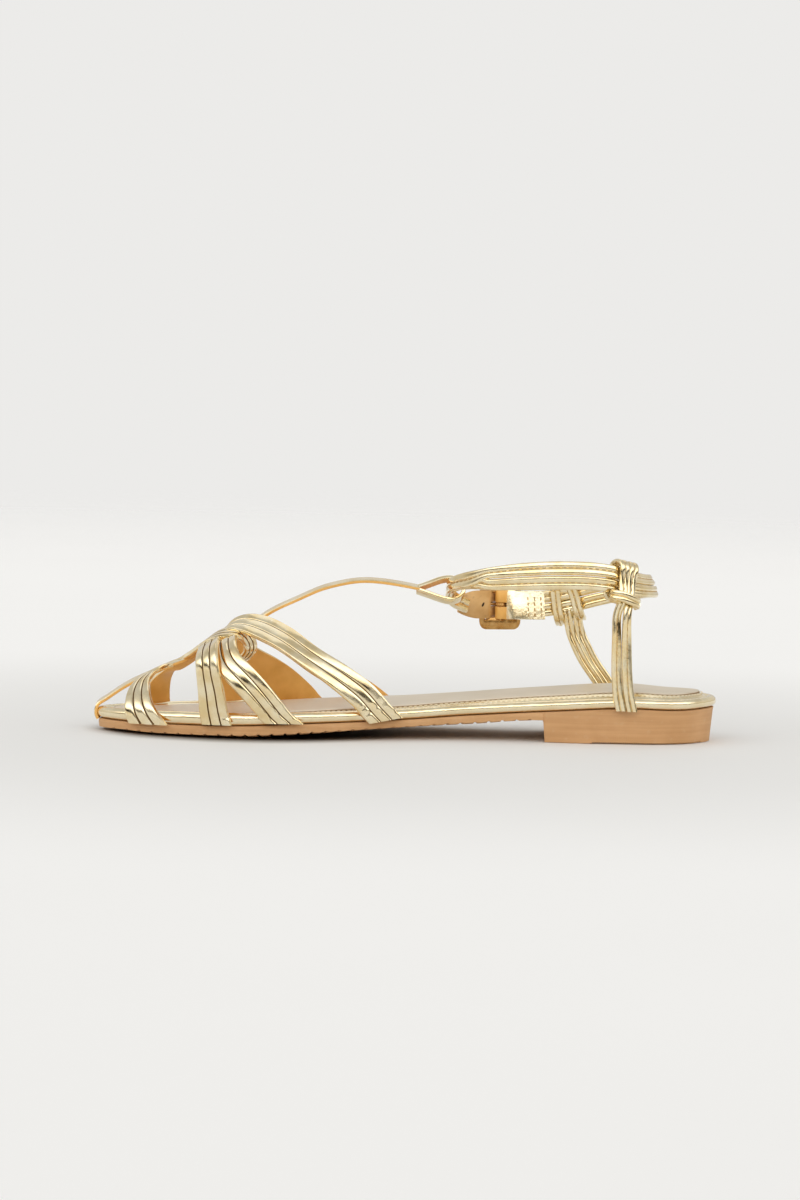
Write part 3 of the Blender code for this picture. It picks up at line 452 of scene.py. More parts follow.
SOLE_INSET, SIDE_SLOPE = 0.7, 0.3  # the side stands in from the rim, and leans
SEAM_INSET, SEAM_DROP = 1.7, 0.15
SHOULDER_DROP = 1.2
HEEL_LEAN, HEEL_DRAW = 0.9, 0.5  # the heel slopes in and stands back a little
TREAD_BEVEL, HEEL_BEVEL = 9.0, 0.6
HEEL_SIDE_FOOT = 0.25
BREAST_HOLLOW, HOLLOW_RUN, HOLLOW_HALF = 4.0, 14.0, 25.0
BREAST_SLANT = 3.0  # the front face lies further back on the outer side
GROOVES = np.arange(-118.0, 53.0, 5.4)  # grooves across the forepart
GROOVE_DEEP, GROOVE_WIDE = 0.6, 0.6
SIDE_RINGS, BEVEL_RINGS = 8, (0.3, 0.65, 1.0)
NOTCH_AT_SIDE = 0.7  # share of a groove's depth that notches the side
SERRATION = np.arange(75.0, 121.0, 0.88)  # fine grooves under the heel
SERRATION_DEEP, SERRATION_WIDE = 1.1, 0.26


def heel_or_fore(along, heel, fore):
    """One value over the heel block and another along the forepart."""
    return np.where(along > BREAST_X, heel, fore)


def notches(along, places, deep, wide):
    """Sum of troughs: deep times e to the minus (distance over width) to the fourth."""
    near = places[np.abs(np.subtract.outer(along, places)).argmin(-1)]
    return deep * np.exp(-(((along - near) / wide) ** 4))


def tread_notch(along):
    """Depth of the tread's grooves at a place along the shoe."""
    fore = notches(along, GROOVES, GROOVE_DEEP, GROOVE_WIDE)
    heel = notches(along, SERRATION, SERRATION_DEEP, SERRATION_WIDE)
    return heel_or_fore(along, heel, fore)


def foot_height(along):
    """Lower edge of the side."""
    return heel_or_fore(along, HEEL_SIDE_FOOT, level("side_foot", along))


def outsole_rings():
    """Insets and heights from the seam under the rim down to the tread."""

    def side(share):
        def inset(along):
            drawn = HEEL_DRAW + HEEL_LEAN * share
            return SOLE_INSET + SIDE_SLOPE * share + heel_or_fore(along, drawn, 0.0)

        def height(along, across):
            shoulder = joint_height(along, across) - SHOULDER_DROP
            notch = tread_notch(along) * NOTCH_AT_SIDE * share**8
            return shoulder + (foot_height(along) + notch - shoulder) * share

        return inset, height

    def bevel(share):
        def inset(along):
            heel = HEEL_DRAW + HEEL_LEAN + HEEL_BEVEL * share
            return SOLE_INSET + SIDE_SLOPE + heel_or_fore(along, heel, TREAD_BEVEL * share)

        def height(along, across):
            foot = foot_height(along)
            tread = heel_or_fore(along, 0.0, level("tread", along))
            notch = tread_notch(along) * (NOTCH_AT_SIDE + (1 - NOTCH_AT_SIDE) * share)
            return foot + (tread - foot) * share + notch

        return inset, height

    rings = [(SEAM_INSET, joint_height)]
    rings.append((SOLE_INSET + SIDE_SLOPE, lambda x, y: joint_height(x, y) - SEAM_DROP))
    rings += [side(share) for share in np.linspace(0, 1, SIDE_RINGS)]
    return rings + [bevel(share) for share in BEVEL_RINGS]


def hollow_breast(points):
    """Draws the heel's front face back: nearness times the sum of hollow and slant."""
    near = np.clip(1 - np.abs(points[..., 0] - BREAST_X) / HOLLOW_RUN, 0, 1)
    middle_share = np.clip(1 - (points[..., 1] / HOLLOW_HALF) ** 2, 0, 1)
    low = points[..., 2] < level("side_foot", points[..., 0])
    slant = np.clip((points[..., 1] + HOLLOW_HALF) / (2 * HOLLOW_HALF), 0, 1) * BREAST_SLANT
    points[..., 0] += (BREAST_HOLLOW * middle_share + slant) * near * low
    return points


def sole_stations(count, *marks):
    """Places along the shoe, closer at toe and heel, with extra ones round each mark."""
    along = TOE_X + LENGTH * (1 - np.cos(np.linspace(0, math.pi, count + 1))) / 2
    extra = [np.add.outer(places, shifts).ravel() for places, shifts in marks]
    along = np.unique(np.round(np.concatenate([along, *extra]), 3))
    return along[(along >= TOE_X) & (along <= HEEL_X)]


def rubber_finish():
    """Matt tan rubber: cloudy tone, faint flow lines along the side, pale scuffs."""
    made, place = new_finish("sole_rubber", Specular_IOR_Level=0.35)
    cloud = place.noise(55.0, 5.0)
    flow = place.stretched(30.0, 30.0, 900.0).noise(1.0, 3.0)
    tone = (cloud * 0.6 + flow * 0.4).between(0.3, 0.7)
    colour = tone.tint((0.53, 0.288, 0.122), (0.65, 0.38, 0.185))
    scuff = place.noise(420.0, 4.0).between(0.58, 0.72) * 0.35
    colour = scuff.tint(colour, (0.62, 0.41, 0.24))
    grain = (place.noise(1800.0, 2.0) + flow * 0.7 + cloud * 1.5).relief(0.35, 0.12)
    return finished(made, Base_Color=colour, Roughness=0.5 + 0.16 * cloud, Normal=grain)


breast_marks = (np.array([BREAST_X]), np.array([-0.12, 0.12]))  # either side of the step
groove_marks = (GROOVES, GROOVE_WIDE * np.array([-1.3, -1.0, -0.7, 0.0, 0.7, 1.0, 1.3]))
serration_marks = (SERRATION, SERRATION_WIDE * np.array([-1.2, -0.8, 0.8, 1.2]))
sole_along = sole_stations(190, breast_marks, groove_marks, serration_marks)
moulding = skin(hollow_breast(sole_layer(sole_along, outsole_rings(), 4, 12)))
new_piece("outsole_moulding", "outsole", [moulding], [rubber_finish()])

# ---------------------------------------------------------------- footbed
# A board wrapped in gold foil leather: a padded roll round the edge, a groove,
# then a flat stitched margin. The leather is glued under, where it puckers.
CLEAR = 0.3
ROLL_REACH, MARGIN_REACH = 3.8, 6.6
GROOVE_REACH, GROOVE_DROP = 4.1, 0.15
MARGIN_FOOT = 0.9  # where the margin starts, in shares of the roll's height
SEAT_DROP = 1.0
PUCKER_HIGH = 0.07
MARGIN_RINGS, ROLL_RINGS = (0.85, 0.6, 0.3), 19
ROLL_PROFILE = table(
    "inset share",
    (3.8, 0.75), (3.3, 0.9), (2.4, 1), (1.5, 0.98), (0.7, 0.85), (0.15, 0.68), (0, 0.5),
    (0.12, 0.33), (0.5, 0.18), (1, 0.07), (1.7, 0),
)


def margin_height(along, across):
    """Inner edge of the margin, above the roll at the heel and below it at the toe."""
    return joint_height(along, across) + level("margin", along)


def seat_height(along, across):
    """Bed that the sock is glued to."""
    return margin_height(along, across) - SEAT_DROP


def pucker(along, across, part):
    """Soft waves of the pulled leather: sines of unlike pitch, fading over the roll."""
    phase = along * 0.9 + across * 1.3
    wave = np.sin(phase * 1.3 + 2 * part) * np.sin(phase * 0.37) + 0.6 * np.sin(phase * 2.9)
    return PUCKER_HIGH * wave * math.sin(math.pi * part)


def footbed_rings():
    """Insets and heights from the seat over margin, groove and roll to the outsole."""

    def roll(share, part):
        def height(along, across):
            base = joint_height(along, across) + CLEAR * (1 - share)
            return base + level("roll", along) * share + pucker(along, across, part)

        return height

    def margin(share, drop=0.0):
        def height(along, across):
            low = joint_height(along, across) + level("roll", along) * MARGIN_FOOT - drop
            return low + (margin_height(along, across) - low) * share

        return height

    rings = [(MARGIN_REACH, seat_height), (MARGIN_REACH, margin_height)]
    for share in MARGIN_RINGS:
        rings.append((ROLL_REACH + (MARGIN_REACH - ROLL_REACH) * share, margin(share)))
    rings.append((GROOVE_REACH, margin(0.0, GROOVE_DROP)))
    rows = np.arange(len(ROLL_PROFILE["inset"]), dtype=float)
    parts = np.linspace(0, 1, ROLL_RINGS)
    stops = parts * rows[-1]
    insets, shares = [held_curve(rows, knots, stops) for knots in ROLL_PROFILE.values()]
    return rings + [(inset, roll(*ends)) for inset, *ends in zip(insets, shares, parts)]


FOIL_DEEP, FOIL_PALE, FOIL_BRIGHT = (0.83, 0.66, 0.36), (0.93, 0.82, 0.57), (0.97, 0.90, 0.74)


def foil_finish(name, roughness, creased, streaked, grained, pale=0.0, crumpled=None):
    """Clear-coated gold foil on leather: mirror-like, clouded, creased and grained.

    Relief is the sum of soft creases, streaks along the piece and leather grain,
    each at its own strength, and of deep crumples between two places along the shoe.
    """
    coat = {"Coat_Weight": 0.5, "Coat_Roughness": 0.08, "Coat_IOR": 1.5}
    made, place = new_finish(name, Metallic=1.0, **coat)
    surface = place.node("UVMap", {"uv_map": "surface"}, {})
    cloud = place.noise(140.0, 3.0)
    colour = (cloud.between(0.3, 0.7) * (1 - pale) + pale).tint(FOIL_DEEP, FOIL_PALE)
    fleck = place.noise(900.0, 4.0).between(0.6, 0.72) * 0.35
    colour = fleck.tint(colour, FOIL_BRIGHT)
    gloss = roughness + 0.16 * cloud.between(0.35, 0.8)
    relief = place.noise(330.0, 3.0) * creased + place.noise(1500.0, 2.0) * grained
    relief = relief + surface.stretched(60.0, 900.0, 1.0).noise(1.0, 2.0) * streaked
    if crumpled:
        relief = relief + place.noise(420.0, 4.0) * place.part(0).between(*crumpled)
    normal = relief.relief(1.0, 1.0)
    return finished(made, Base_Color=colour, Roughness=gloss, Normal=normal)


def mottled_finish(name, roughness, metallic, scale, detail, tones, relief):
    """One noise for both tone and relief, its darker tone painted as shade in the hollows; a
    scale of three numbers draws it out.
    """
    made, place = new_finish(name, Roughness=roughness, Metallic=metallic)
    mottle = place.stretched(*scale).noise(1.0, detail)
    return finished(made, Base_Color=mottle.tint(*tones), Normal=mottle.relief(*relief))


def thread_finish(name, colour):
    """Twisted thread, with painted shade darkening the hollows of its turns."""
    tones = ([shade * 0.8 for shade in colour], colour)
    return mottled_finish(name, 0.5, 0.0, (2500.0,) * 3, 2.0, tones, (0.5, 0.05))


def distances(points):
    """How far along a route each of its points lies."""
    return np.append(0, np.cumsum(np.linalg.norm(np.diff(points, axis=0), axis=-1)))


def read_along(points, stops):
    """Values of a route at distances along it, on straight lines between its points."""
    gone = distances(points[:, :3])
    return np.stack([np.interp(stops, gone, column) for column in points.T], -1)


MARGIN_STITCH = (2.1, 1.5, 0.42, 0.22)  # pitch, length, width and height of stitches
STITCH_RINGS, STITCH_SPOKES, STITCH_STEP = 5, 6, 0.2


def stitch_row(points, outward, size):
    """Skin of stitches every pitch along a line.

    A stitch is a spindle: at half turn t, place = long / 2 times minus cos t along
    the line, and radius = wide / 2 times the root of sin t, flattened to high.
    """
    pitch, long, wide, high = size
    line = np.hstack([points, outward])
    stops = np.arange(pitch / 2, distances(points)[-1] - long / 2, pitch)
    steps = (0.0, STITCH_STEP, -STITCH_STEP)
    centre, after, before = [read_along(line, stops + step) for step in steps]
    heading, out = unit(after[:, :3] - before[:, :3]), unit(centre[:, 3:])
    turn = np.linspace(0, math.pi, STITCH_RINGS)[:, None]
    around = full_turn(STITCH_SPOKES)[None]
    reach = -long / 2 * np.cos(turn) + 0 * around
    sideways = wide / 2 * np.sqrt(np.sin(turn)) * np.cos(around)
    upward = high * np.sqrt(np.sin(turn)) * np.sin(around)
    grid = np.stack([reach, sideways, upward], -1)
    axes = np.stack([heading, unit(np.cross(heading, out)), out], 1)
    places = centre[:, None, :3] + grid.reshape(-1, 3) @ axes
    stitch, quads, corners, marks, caps = skin(grid)
    quads = quads + np.arange(len(stops))[:, None, None] * len(stitch)
    corners, marks = np.tile(corners, (len(stops), 1, 1)), np.tile(marks, len(stops))
    return places.reshape(-1, 3), quads.reshape(-1, 4), corners, marks, caps


wrap = skin(sole_layer(sole_stations(330), footbed_rings(), 2, 2))
roll_foil = foil_finish("roll_foil", 0.14, 0.05, 0.0, 0.008, 0.5)
new_piece("footbed_wrap", "footbed", [wrap], [roll_foil])

SEWN_IN, SEWN_LIFT = 1.0, 0.05  # how far outside the sock's edge the margin is sewn
sewn = [(MARGIN_REACH - SEWN_IN, margin_height), (MARGIN_REACH, margin_height)]
rim_sections = sole_layer(sole_stations(500), sewn, 1, 1)
rim_line = np.concatenate([rim_sections[:, 1], rim_sections[-2::-1, 0]])
rim_up = np.tile([0.0, 0.0, 1.0], (len(rim_line), 1))
margin_stitches = stitch_row(rim_line + rim_up * SEWN_LIFT, rim_up, MARGIN_STITCH)
pale_thread = thread_finish("margin_thread", (0.86, 0.74, 0.50))
new_piece("margin_stitches", "footbed", [margin_stitches], [pale_thread])

# ---------------------------------------------------------------- insole sock
# Thin satin-finished leather over a little foam, glued inside the margin, its
# cut edge showing as a brown line: raw leather, darkened further by painted
# shade of the gap beside it.
SOCK_RISE, SOCK_ROUND, SOCK_ROUND_REACH, SOCK_CROWN = 0.9, 0.5, 1.5, 0.3
SOCK_EDGE = MARGIN_REACH + CLEAR
SOCK_COLUMNS, SOCK_RINGS = 14, 6


def sock_rings():
    """Insets and heights: crowned top, quarter round of the edge, then the cut side."""

    def rounded(turn):
        def height(along, across):
            shoulder = margin_height(along, across) + SOCK_RISE - SOCK_ROUND
            return shoulder + SOCK_ROUND * math.sin(turn)

        return SOCK_EDGE + SOCK_ROUND_REACH * (1 - math.cos(turn)), height

    rings = [rounded(turn) for turn in np.linspace(math.pi / 2, 0, SOCK_RINGS)]
    rings.append((SOCK_EDGE, lambda x, y: seat_height(x, y) + CLEAR))
    return rings


def crown_sock(points):
    """Lifts the top by crown times 1 minus the square of the place across."""
    inner, outer = side_y("inner", points[..., 0]), side_y("outer", points[..., 0])
    half = np.maximum((outer - inner) / 2 - SOCK_EDGE - SOCK_ROUND_REACH, 1.0)
    share = np.clip(1 - ((points[..., 1] - (inner + outer) / 2) / half) ** 2, 0, 1)
    points[..., 2] += SOCK_CROWN * share
    return points


def sock_finish():
    """Pearly pale leather: cloudy tone, a forefoot made paler by a painted sheen, pores."""
    made, place = new_finish("sock_leather", Metallic=0.25)
    cloud = place.noise(45.0, 4.0)
    colour = cloud.between(0.3, 0.75).tint((0.66, 0.58, 0.455), (0.73, 0.655, 0.54))
    # Painted sheen: the forefoot, seen at a grazing angle, is painted paler as if it mirrored
    # the backdrop.
    fore = (1 - place.part(0).between(-0.075, 0.02)) * 0.85
    colour = fore.tint(colour, (0.83, 0.79, 0.69))
    pores = (place.noise(1300.0, 3.0) + place.noise(240.0, 2.0) * 2.0).relief(0.5, 0.06)
    return finished(made, Base_Color=colour, Roughness=0.36 + 0.14 * cloud, Normal=pores)


RAW_EDGE_AND_SHADE = ((0.26, 0.16, 0.085), (0.44, 0.30, 0.17))  # raw brown leather, fibrous, darkened by painted shade of the gap at the sock's edge
FIBRES = (700.0, 700.0, 3500.0)
cut_edge_and_shade = mottled_finish("cut_edge_and_shade", 0.75, 0.0, FIBRES, 4.0, RAW_EDGE_AND_SHADE, (0.6, 0.1))
sock_sections = sole_layer(sole_stations(160), sock_rings(), SOCK_COLUMNS, 2)
cut_from = SOCK_COLUMNS + SOCK_RINGS - 1
sock_kinds = np.zeros(sock_sections.shape[1], int)
sock_kinds[cut_from : cut_from + 4] = 1
sock = skin(crown_sock(sock_sections), sock_kinds)
new_piece("sock_top", "insole_sock", [sock], [sock_finish(), cut_edge_and_shade])

# ---------------------------------------------------------------- vamp straps
# Three gold strips are laid side by side on each tan-lined band, their edges
# folded under. Two bands cross over the knot, two pass under it, and the front
# loop arches over those and curls down behind them. A thin strap runs through.
RIM_OFFSET, RIM_DROP = 0.45, 1.4
WALL_BLUNT, CROWN_BLUNT = 0.91, 1.05
BALL_X, BALL_RUN, BALL_BLUNT, BALL_BULGE = -72.0, 20.0, 0.72, 0.12
HANG_RATE = 0.4
BAND_THICK = 1.8
SQUARED_REACH = 9.0  # length over which a cut end turns level
LAID, PLACES = "along girth lift width", "along across height"
EDGES = "left_x left_y left_z right_x right_y right_z"

FRONT_LOOP_OUTER = table(
    LAID,
    (-101.6, 190, 0, 11.5), (-101.9, 172, 0, 10.6), (-101.6, 150, 0, 10.2),
    (-100.4, 130, 0, 9.4), (-98.4, 115, 0.2, 8.2),
)
MIDDLE_BAND = table(
    LAID,
    (-75, -8, 0, 12), (-76.2, 6, 0.2, 11.5), (-77, 24, 0.4, 11), (-77, 40, 2.4, 10.6),
    (-76.2, 54, 5.2, 10.2), (-76.4, 66, 4.8, 10), (-77, 78, 3.8, 9.6), (-77.2, 90, 3.6, 9.2),
    (-76.8, 106, 2.4, 9), (-76, 132, 0.2, 10), (-74.6, 156, 0, 11), (-73, 176, 0, 11.5),
    (-72, 191, 0, 12),
)
REAR_BAND = table(
    LAID,
    (-48.4, -7, 0, 10.6), (-53, 4, 0, 10.8), (-58.8, 18, 0, 11.2), (-63.8, 31, 0, 11.4),
    (-67.8, 43, 0, 11.2), (-70.4, 54, 0.2, 10.8), (-71.6, 66, 1, 10.2),
    (-71.8, 78, 1.8, 9.6), (-71.4, 92, 1.8, 9.2), (-70.2, 110, 0.6, 9.4),
    (-67.4, 126, -2, 10.4), (-60.9, 143, -3.6, 11.6), (-53.4, 159, -3.2, 12.4),
    (-47.2, 172, -1.8, 12.8), (-42, 184, -0.3, 12.8), (-40.2, 191, 0, 12.8),
)
KNOT_BAND_INNER = table(
    LAID,
    (-8.2, -7, 0, 11.4), (-13.4, 4.8, 0, 11.6), (-22.6, 18.4, 0, 11.4),
    (-33.6, 32.6, 0, 10.6),
)
KNOT_BAND_OUTER = table(
    LAID,
    (-8.2, 190.5, 0, 9.4), (-13.8, 180, 0, 9.4), (-22.8, 170.6, 0, 9.6),
    (-31, 162.2, -1, 9.6),
)

# Edges of the front loop's inner side, and of three bands past their laid stretch.
FRONT_LOOP_INNER = table(
    EDGES,
    (-108.9, -26.9, 4.8, -96.2, -31.9, 4.9), (-110.5, -26.3, 7.7, -98.5, -31.5, 7.6),
    (-111.6, -25.1, 11, -100.8, -30.3, 10.4), (-111.7, -22.3, 14.2, -102.4, -27.5, 13.7),
    (-110.8, -18.4, 17.3, -103.2, -23.4, 17), (-108.9, -14.4, 19.6, -103.4, -18.6, 19.7),
    (-106.2, -10.2, 21.2, -102.6, -13.6, 21.7), (-102.9, -6.4, 22.8, -101, -9.2, 23.4),
    (-99.2, -3.4, 24.5, -98.1, -5.4, 24.7), (-95.7, -1.4, 25.5, -94.7, -2.6, 25.1),
)
ARCH = table(
    EDGES,
    (-95.6, 1.2, 25.3, -92.8, 6, 23.4), (-90.6, -1.4, 28.6, -88.2, 4.8, 26.2),
    (-86.2, -6.6, 31.8, -83.8, 2.4, 30.4), (-82, -12.4, 35.2, -80, -1.4, 35.4),
    (-77.8, -15.8, 37.4, -76.4, -4.6, 39.2), (-74, -16.8, 38.4, -72.8, -5.8, 40.9),
    (-70.6, -16.8, 38.5, -69.2, -6.2, 41.2), (-68, -16.4, 37.6, -65.4, -6.4, 40.1),
    (-66.6, -15.8, 35.9, -62.9, -6.2, 37.8), (-66.2, -15.2, 34.2, -62.1, -5.8, 35),
    (-67, -14.6, 32.6, -63, -5.2, 32), (-68.6, -14, 31.6, -65.8, -4.6, 29.8),
)
CROSSING = table(
    EDGES,
    (-46.8, -30.6, 32.2, -39.8, -24.6, 38.4), (-51.8, -26.8, 35.2, -45.6, -18.8, 41.8),
    (-56.4, -22.4, 37.4, -51.6, -13.2, 44.4), (-60.6, -18.2, 39.2, -57.6, -8.2, 46.2),
    (-64.8, -14.8, 40.6, -63.2, -5, 46.8), (-68.6, -12.2, 41.2, -67.4, -3.4, 45.8),
    (-71.6, -10.6, 40.8, -70.4, -3, 43.6), (-73.4, -9.4, 39.4, -72.2, -2.6, 41),
)
BEHIND = table(
    EDGES,
    (-40, 20.6, 32.6, -47.4, 23.6, 27.2), (-46.8, 14.8, 38.4, -54.2, 17.4, 32.2),
    (-53.8, 9.2, 42, -60.2, 12.2, 35.6), (-60.2, 4.8, 43.8, -65.4, 9.2, 38.4),
    (-65.8, 1.4, 43.8, -69.8, 7.4, 40.6), (-70.2, -1.4, 42.2, -73, 5.8, 40.4),
    (-72.8, -3, 39.6, -75, 4.4, 38.4),
)


def last_point(along, girth):
    """Point on the foot: girth 0 at the inner rim, 90 on the ridge, 180 at the outer.

    Between the rims a section is a superellipse, boxier at the ball of the foot.
    Past them it hangs straight down.
    """
    along, girth = np.broadcast_arrays(np.asarray(along, float), girth)
    turn = np.radians(np.clip(girth, 0, 180))
    inner = side_y("inner", along) - RIM_OFFSET
    outer = side_y("outer", along) + RIM_OFFSET
    boxy = np.exp(-(((along - BALL_X) / BALL_RUN) ** 2)) * (turn < math.pi / 2)
    reach = np.abs(np.cos(turn)) ** (WALL_BLUNT - BALL_BLUNT * boxy)
    reach *= 1 + BALL_BULGE * boxy * np.sin(2 * turn)
    across = np.where(turn < math.pi / 2, inner, outer) * reach
    rim = level("inner_joint", along) + level("roll", along) - RIM_DROP
    height = rim + (level("crown", along) - rim) * np.sin(turn) ** CROWN_BLUNT
    past = np.where(girth < 0, -girth, np.where(girth > 180, girth - 180, 0.0))
    return np.stack([along, across, height - past * HANG_RATE], -1)


def last_normal(along, girth):
    """Direction straight off the foot: cross product of its two slopes."""
    girth, step = np.clip(girth, 1.0, 179.0), 0.5
    by_along = last_point(along + step, girth) - last_point(along - step, girth)
    by_girth = last_point(along, girth + step) - last_point(along, girth - step)
    normal = np.cross(by_along, by_girth)
    inward = normal[:, 2] * np.sin(np.radians(girth)) < normal[:, 1] * np.cos(np.radians(girth))
    normal[inward] *= -1
    return unit(normal)


def free_curve(rows, count):
    """Natural cubic spline through rows of values, at even steps of its length."""
    knots = distances(rows[:, :3])
    at = np.linspace(0, knots[-1], count)
    step = np.diff(knots)
    size = len(knots)
    system, bend = np.eye(size), np.zeros_like(rows)
    inside = np.arange(1, size - 1)
    system[inside, inside - 1], system[inside, inside + 1] = step[:-1], step[1:]
    system[inside, inside] = 2 * (step[:-1] + step[1:])
    slope = np.diff(rows, axis=0) / step[:, None]
    bend[1:-1] = 6 * np.diff(slope, axis=0)
    second = np.linalg.solve(system, bend)
    cell = np.clip(np.searchsorted(knots, at) - 1, 0, size - 2)
    width = step[cell][:, None]
    after = (at - knots[cell])[:, None] / width
    before = 1 - after
    curve = (before**3 - before) * second[cell] + (after**3 - after) * second[cell + 1]
    return before * rows[cell] + after * rows[cell + 1] + curve * width**2 / 6


def rows_of(path):
    """Rows of a table again."""
    return np.stack(list(path.values()), 1)


def way_of(line):
    """Direction of a line at each of its points."""
    return unit(np.gradient(line, axis=0))


def edges_on_last(path, count):
    """Both edges of a strap laid on the foot, left edge then right edge of its way."""
    knots = rows_of(path)
    places = np.hstack([last_point(knots[:, 0], knots[:, 1]), knots])
    smooth = free_curve(places, count)[:, 3:]
    outward = last_normal(smooth[:, 0], smooth[:, 1])
    points = last_point(smooth[:, 0], smooth[:, 1]) + outward * smooth[:, 2:3]
    across = unit(np.cross(way_of(points), outward))
    half = across * smooth[:, 3:4] / 2
    return np.hstack([points - half, points + half])


FOIL, LINING, VALLEY_SHADE = 0, 1, 2  # a band's finishes
RIBS, RIB_VALLEY, RIB_LAP = 3, 0.6, 0.05
RIB_PLACES = np.array([-1.0, -0.88, -0.76, -0.45, 0.0, 0.45, 0.76, 0.88])
FOLD = np.array([(0.5, RIB_VALLEY - RIB_LAP), (0.512, 0.22), (0.5, 0.03), (0.485, 0.0)])


def ribbed_section():
    """Across and up shares of a band, and the finish of each: foil, lining or painted valley
    shade.

    Each rib's height is valley + (1 - valley) times the square root of
    1 - place to the sixth, and one rib laps over the next by a little.
    """
    round_top = np.sqrt(np.clip(1 - RIB_PLACES**6, 0, 1))
    crown = RIB_VALLEY + (1 - RIB_VALLEY) * round_top + RIB_LAP * RIB_PLACES
    across = [(rib + (RIB_PLACES + 1) / 2) / RIBS - 0.5 for rib in range(RIBS)]
    kinds = np.tile([VALLEY_SHADE] + [FOIL] * (len(RIB_PLACES) - 2) + [VALLEY_SHADE], RIBS)
    kinds[[0, -1]] = FOIL
    back_fold = FOLD[:0:-1] * [-1, 1]
    across = np.concatenate([*across, FOLD[:, 0], back_fold[:, 0]])
    up = np.concatenate([np.tile(crown, RIBS), FOLD[:, 1], back_fold[:, 1]])
    return across, up, np.concatenate([kinds, [FOIL] + [LINING] * 5 + [FOIL]])


SQUARED_HOLD, LEAST_RISE, MOST_SLANT = 1.4, 0.3, 1.2  # how firmly a cut end turns level
SWELL, SWELL_AT = 0.5, 1.7  # height and place of the ridge beside a crease


def strap_axes(line, sideways):
    """Directions along a strap, square across it, and outward."""
    forward = way_of(line)
    across = unit(sideways - forward * np.sum(sideways * forward, -1, keepdims=True))
    return forward, across, np.cross(across, forward)


def laid_out(line, across, outward, wide, high):
    """Grid of places: so far across and so far outward of each point of a line."""
    sideways, lifted = across[:, None] * wide[..., None], outward[:, None] * high[..., None]
    return line[:, None] + sideways + lifted


def band_skin(edges, thick, section, square_ends=(), creases=()):
    """Skin of a strap between its two edges, lining on them and ribs outward.

    A crease (distance, slant, depth, width) adds to the height of the foil side
    minus depth times e to the minus square of (distance + slant times place
    across) over width, with half as much raised beside it.
    """
    middle_line = (edges[:, :3] + edges[:, 3:]) / 2
    across = edges[:, 3:] - edges[:, :3]
    width = np.linalg.norm(across, axis=1)[:, None]
    forward, across, outward = strap_axes(middle_line, across / width)
    gone = distances(middle_line)
    for end, squared in square_ends:
        fade = np.clip(SQUARED_HOLD - np.abs(gone - gone[end]) / SQUARED_REACH, 0.0, 1.0)
        rise = np.where(np.abs(forward[:, 2]) < LEAST_RISE, LEAST_RISE, forward[:, 2])
        slant = np.clip(-across[:, 2] / rise, -MOST_SLANT, MOST_SLANT) * fade * squared
        across = across + forward * slant[:, None]
    place, up, kinds = section
    height = np.outer(np.ones(len(gone)), up) * np.reshape(thick, (-1, 1))
    for at, slant, depth, wide in creases:
        start = at if at >= 0 else gone[-1] + at
        reach = (gone[:, None] - start + slant * width * place) / wide
        fold = SWELL * np.exp(-((reach - SWELL_AT) ** 2)) - np.exp(-(reach**2))
        height += depth * fold * np.clip(up / up.max(), 0, 1) ** 2
    return skin(laid_out(middle_line, across, outward, width * place, height), kinds, ends=True)


def lining_finish():
    """Smooth tan lining leather: cloudy, a little glossy, with faint pores."""
    made, place = new_finish("tan_lining")
    cloud = place.noise(90.0, 4.0)
    colour = cloud.between(0.3, 0.72).tint((0.79, 0.42, 0.095), (0.93, 0.53, 0.15))
    pores = (place.noise(1500.0, 3.0) + place.noise(260.0, 2.0) * 2.0).relief(0.4, 0.05)
    return finished(made, Base_Color=colour, Roughness=0.36 + 0.16 * cloud, Normal=pores)


VALLEY_SHADE_TONES = ((0.12, 0.055, 0.014), (0.34, 0.20, 0.07))  # painted shade of the dark gaps between strips, with dull glue
# Painted shade: the valleys between the strips are coloured dark, as the shade that falls in
# them.
valley_shade = mottled_finish("strip_valley_shade", 0.6, 0.3, (600.0,) * 3, 3.0, VALLEY_SHADE_TONES, (0.5, 0.08))
strap_foil = foil_finish("strap_foil", 0.11, 0.03, 0.02, 0.006)
tan_lining = lining_finish()
band_finishes = [strap_foil, tan_lining, valley_shade]
band_section = ribbed_section()
BAND_CUTS = 110
RIM_CREASES = ((5.2, 0.3, 0.10, 0.5), (6.6, -0.4, 0.14, 0.6), (8.3, 0.2, 0.10, 0.5))
FAR_CREASES = tuple((-at, slant, depth, wide) for at, slant, depth, wide in RIM_CREASES)

front_inner = free_curve(rows_of(FRONT_LOOP_INNER), BAND_CUTS)
arch_edges = np.roll(rows_of(ARCH), 3, 1)  # the loop is laid from its outer end
front_outer = free_curve(np.vstack([edges_on_last(FRONT_LOOP_OUTER, 12), arch_edges]), 170)
knot_inner, knot_outer = (
    free_curve(np.vstack([edges_on_last(laid, 6), rows_of(free)]), BAND_CUTS)
    for laid, free in ((KNOT_BAND_INNER, CROSSING), (KNOT_BAND_OUTER, BEHIND))
)
BOTH_SQUARE = ((0, 1.0), (-1, 1.0))
vamp_bands = {
    "front_loop_inner": (front_inner, ((0, 1.0),), ()),
    "front_loop_outer": (front_outer, ((0, 1.0),), RIM_CREASES),
    "middle_band": (edges_on_last(MIDDLE_BAND, 150), BOTH_SQUARE, RIM_CREASES + FAR_CREASES),
    "rear_band": (edges_on_last(REAR_BAND, 150), BOTH_SQUARE, RIM_CREASES + FAR_CREASES),
    "knot_band_inner": (knot_inner, ((0, 0.7),), RIM_CREASES),
    "knot_band_outer": (knot_outer, ((0, 1.0),), RIM_CREASES),
}
for band_name, (edges, square_ends, creases) in vamp_bands.items():
    band = band_skin(edges, BAND_THICK, band_section, square_ends, creases)
    new_piece(band_name, "vamp_straps", [band], band_finishes)

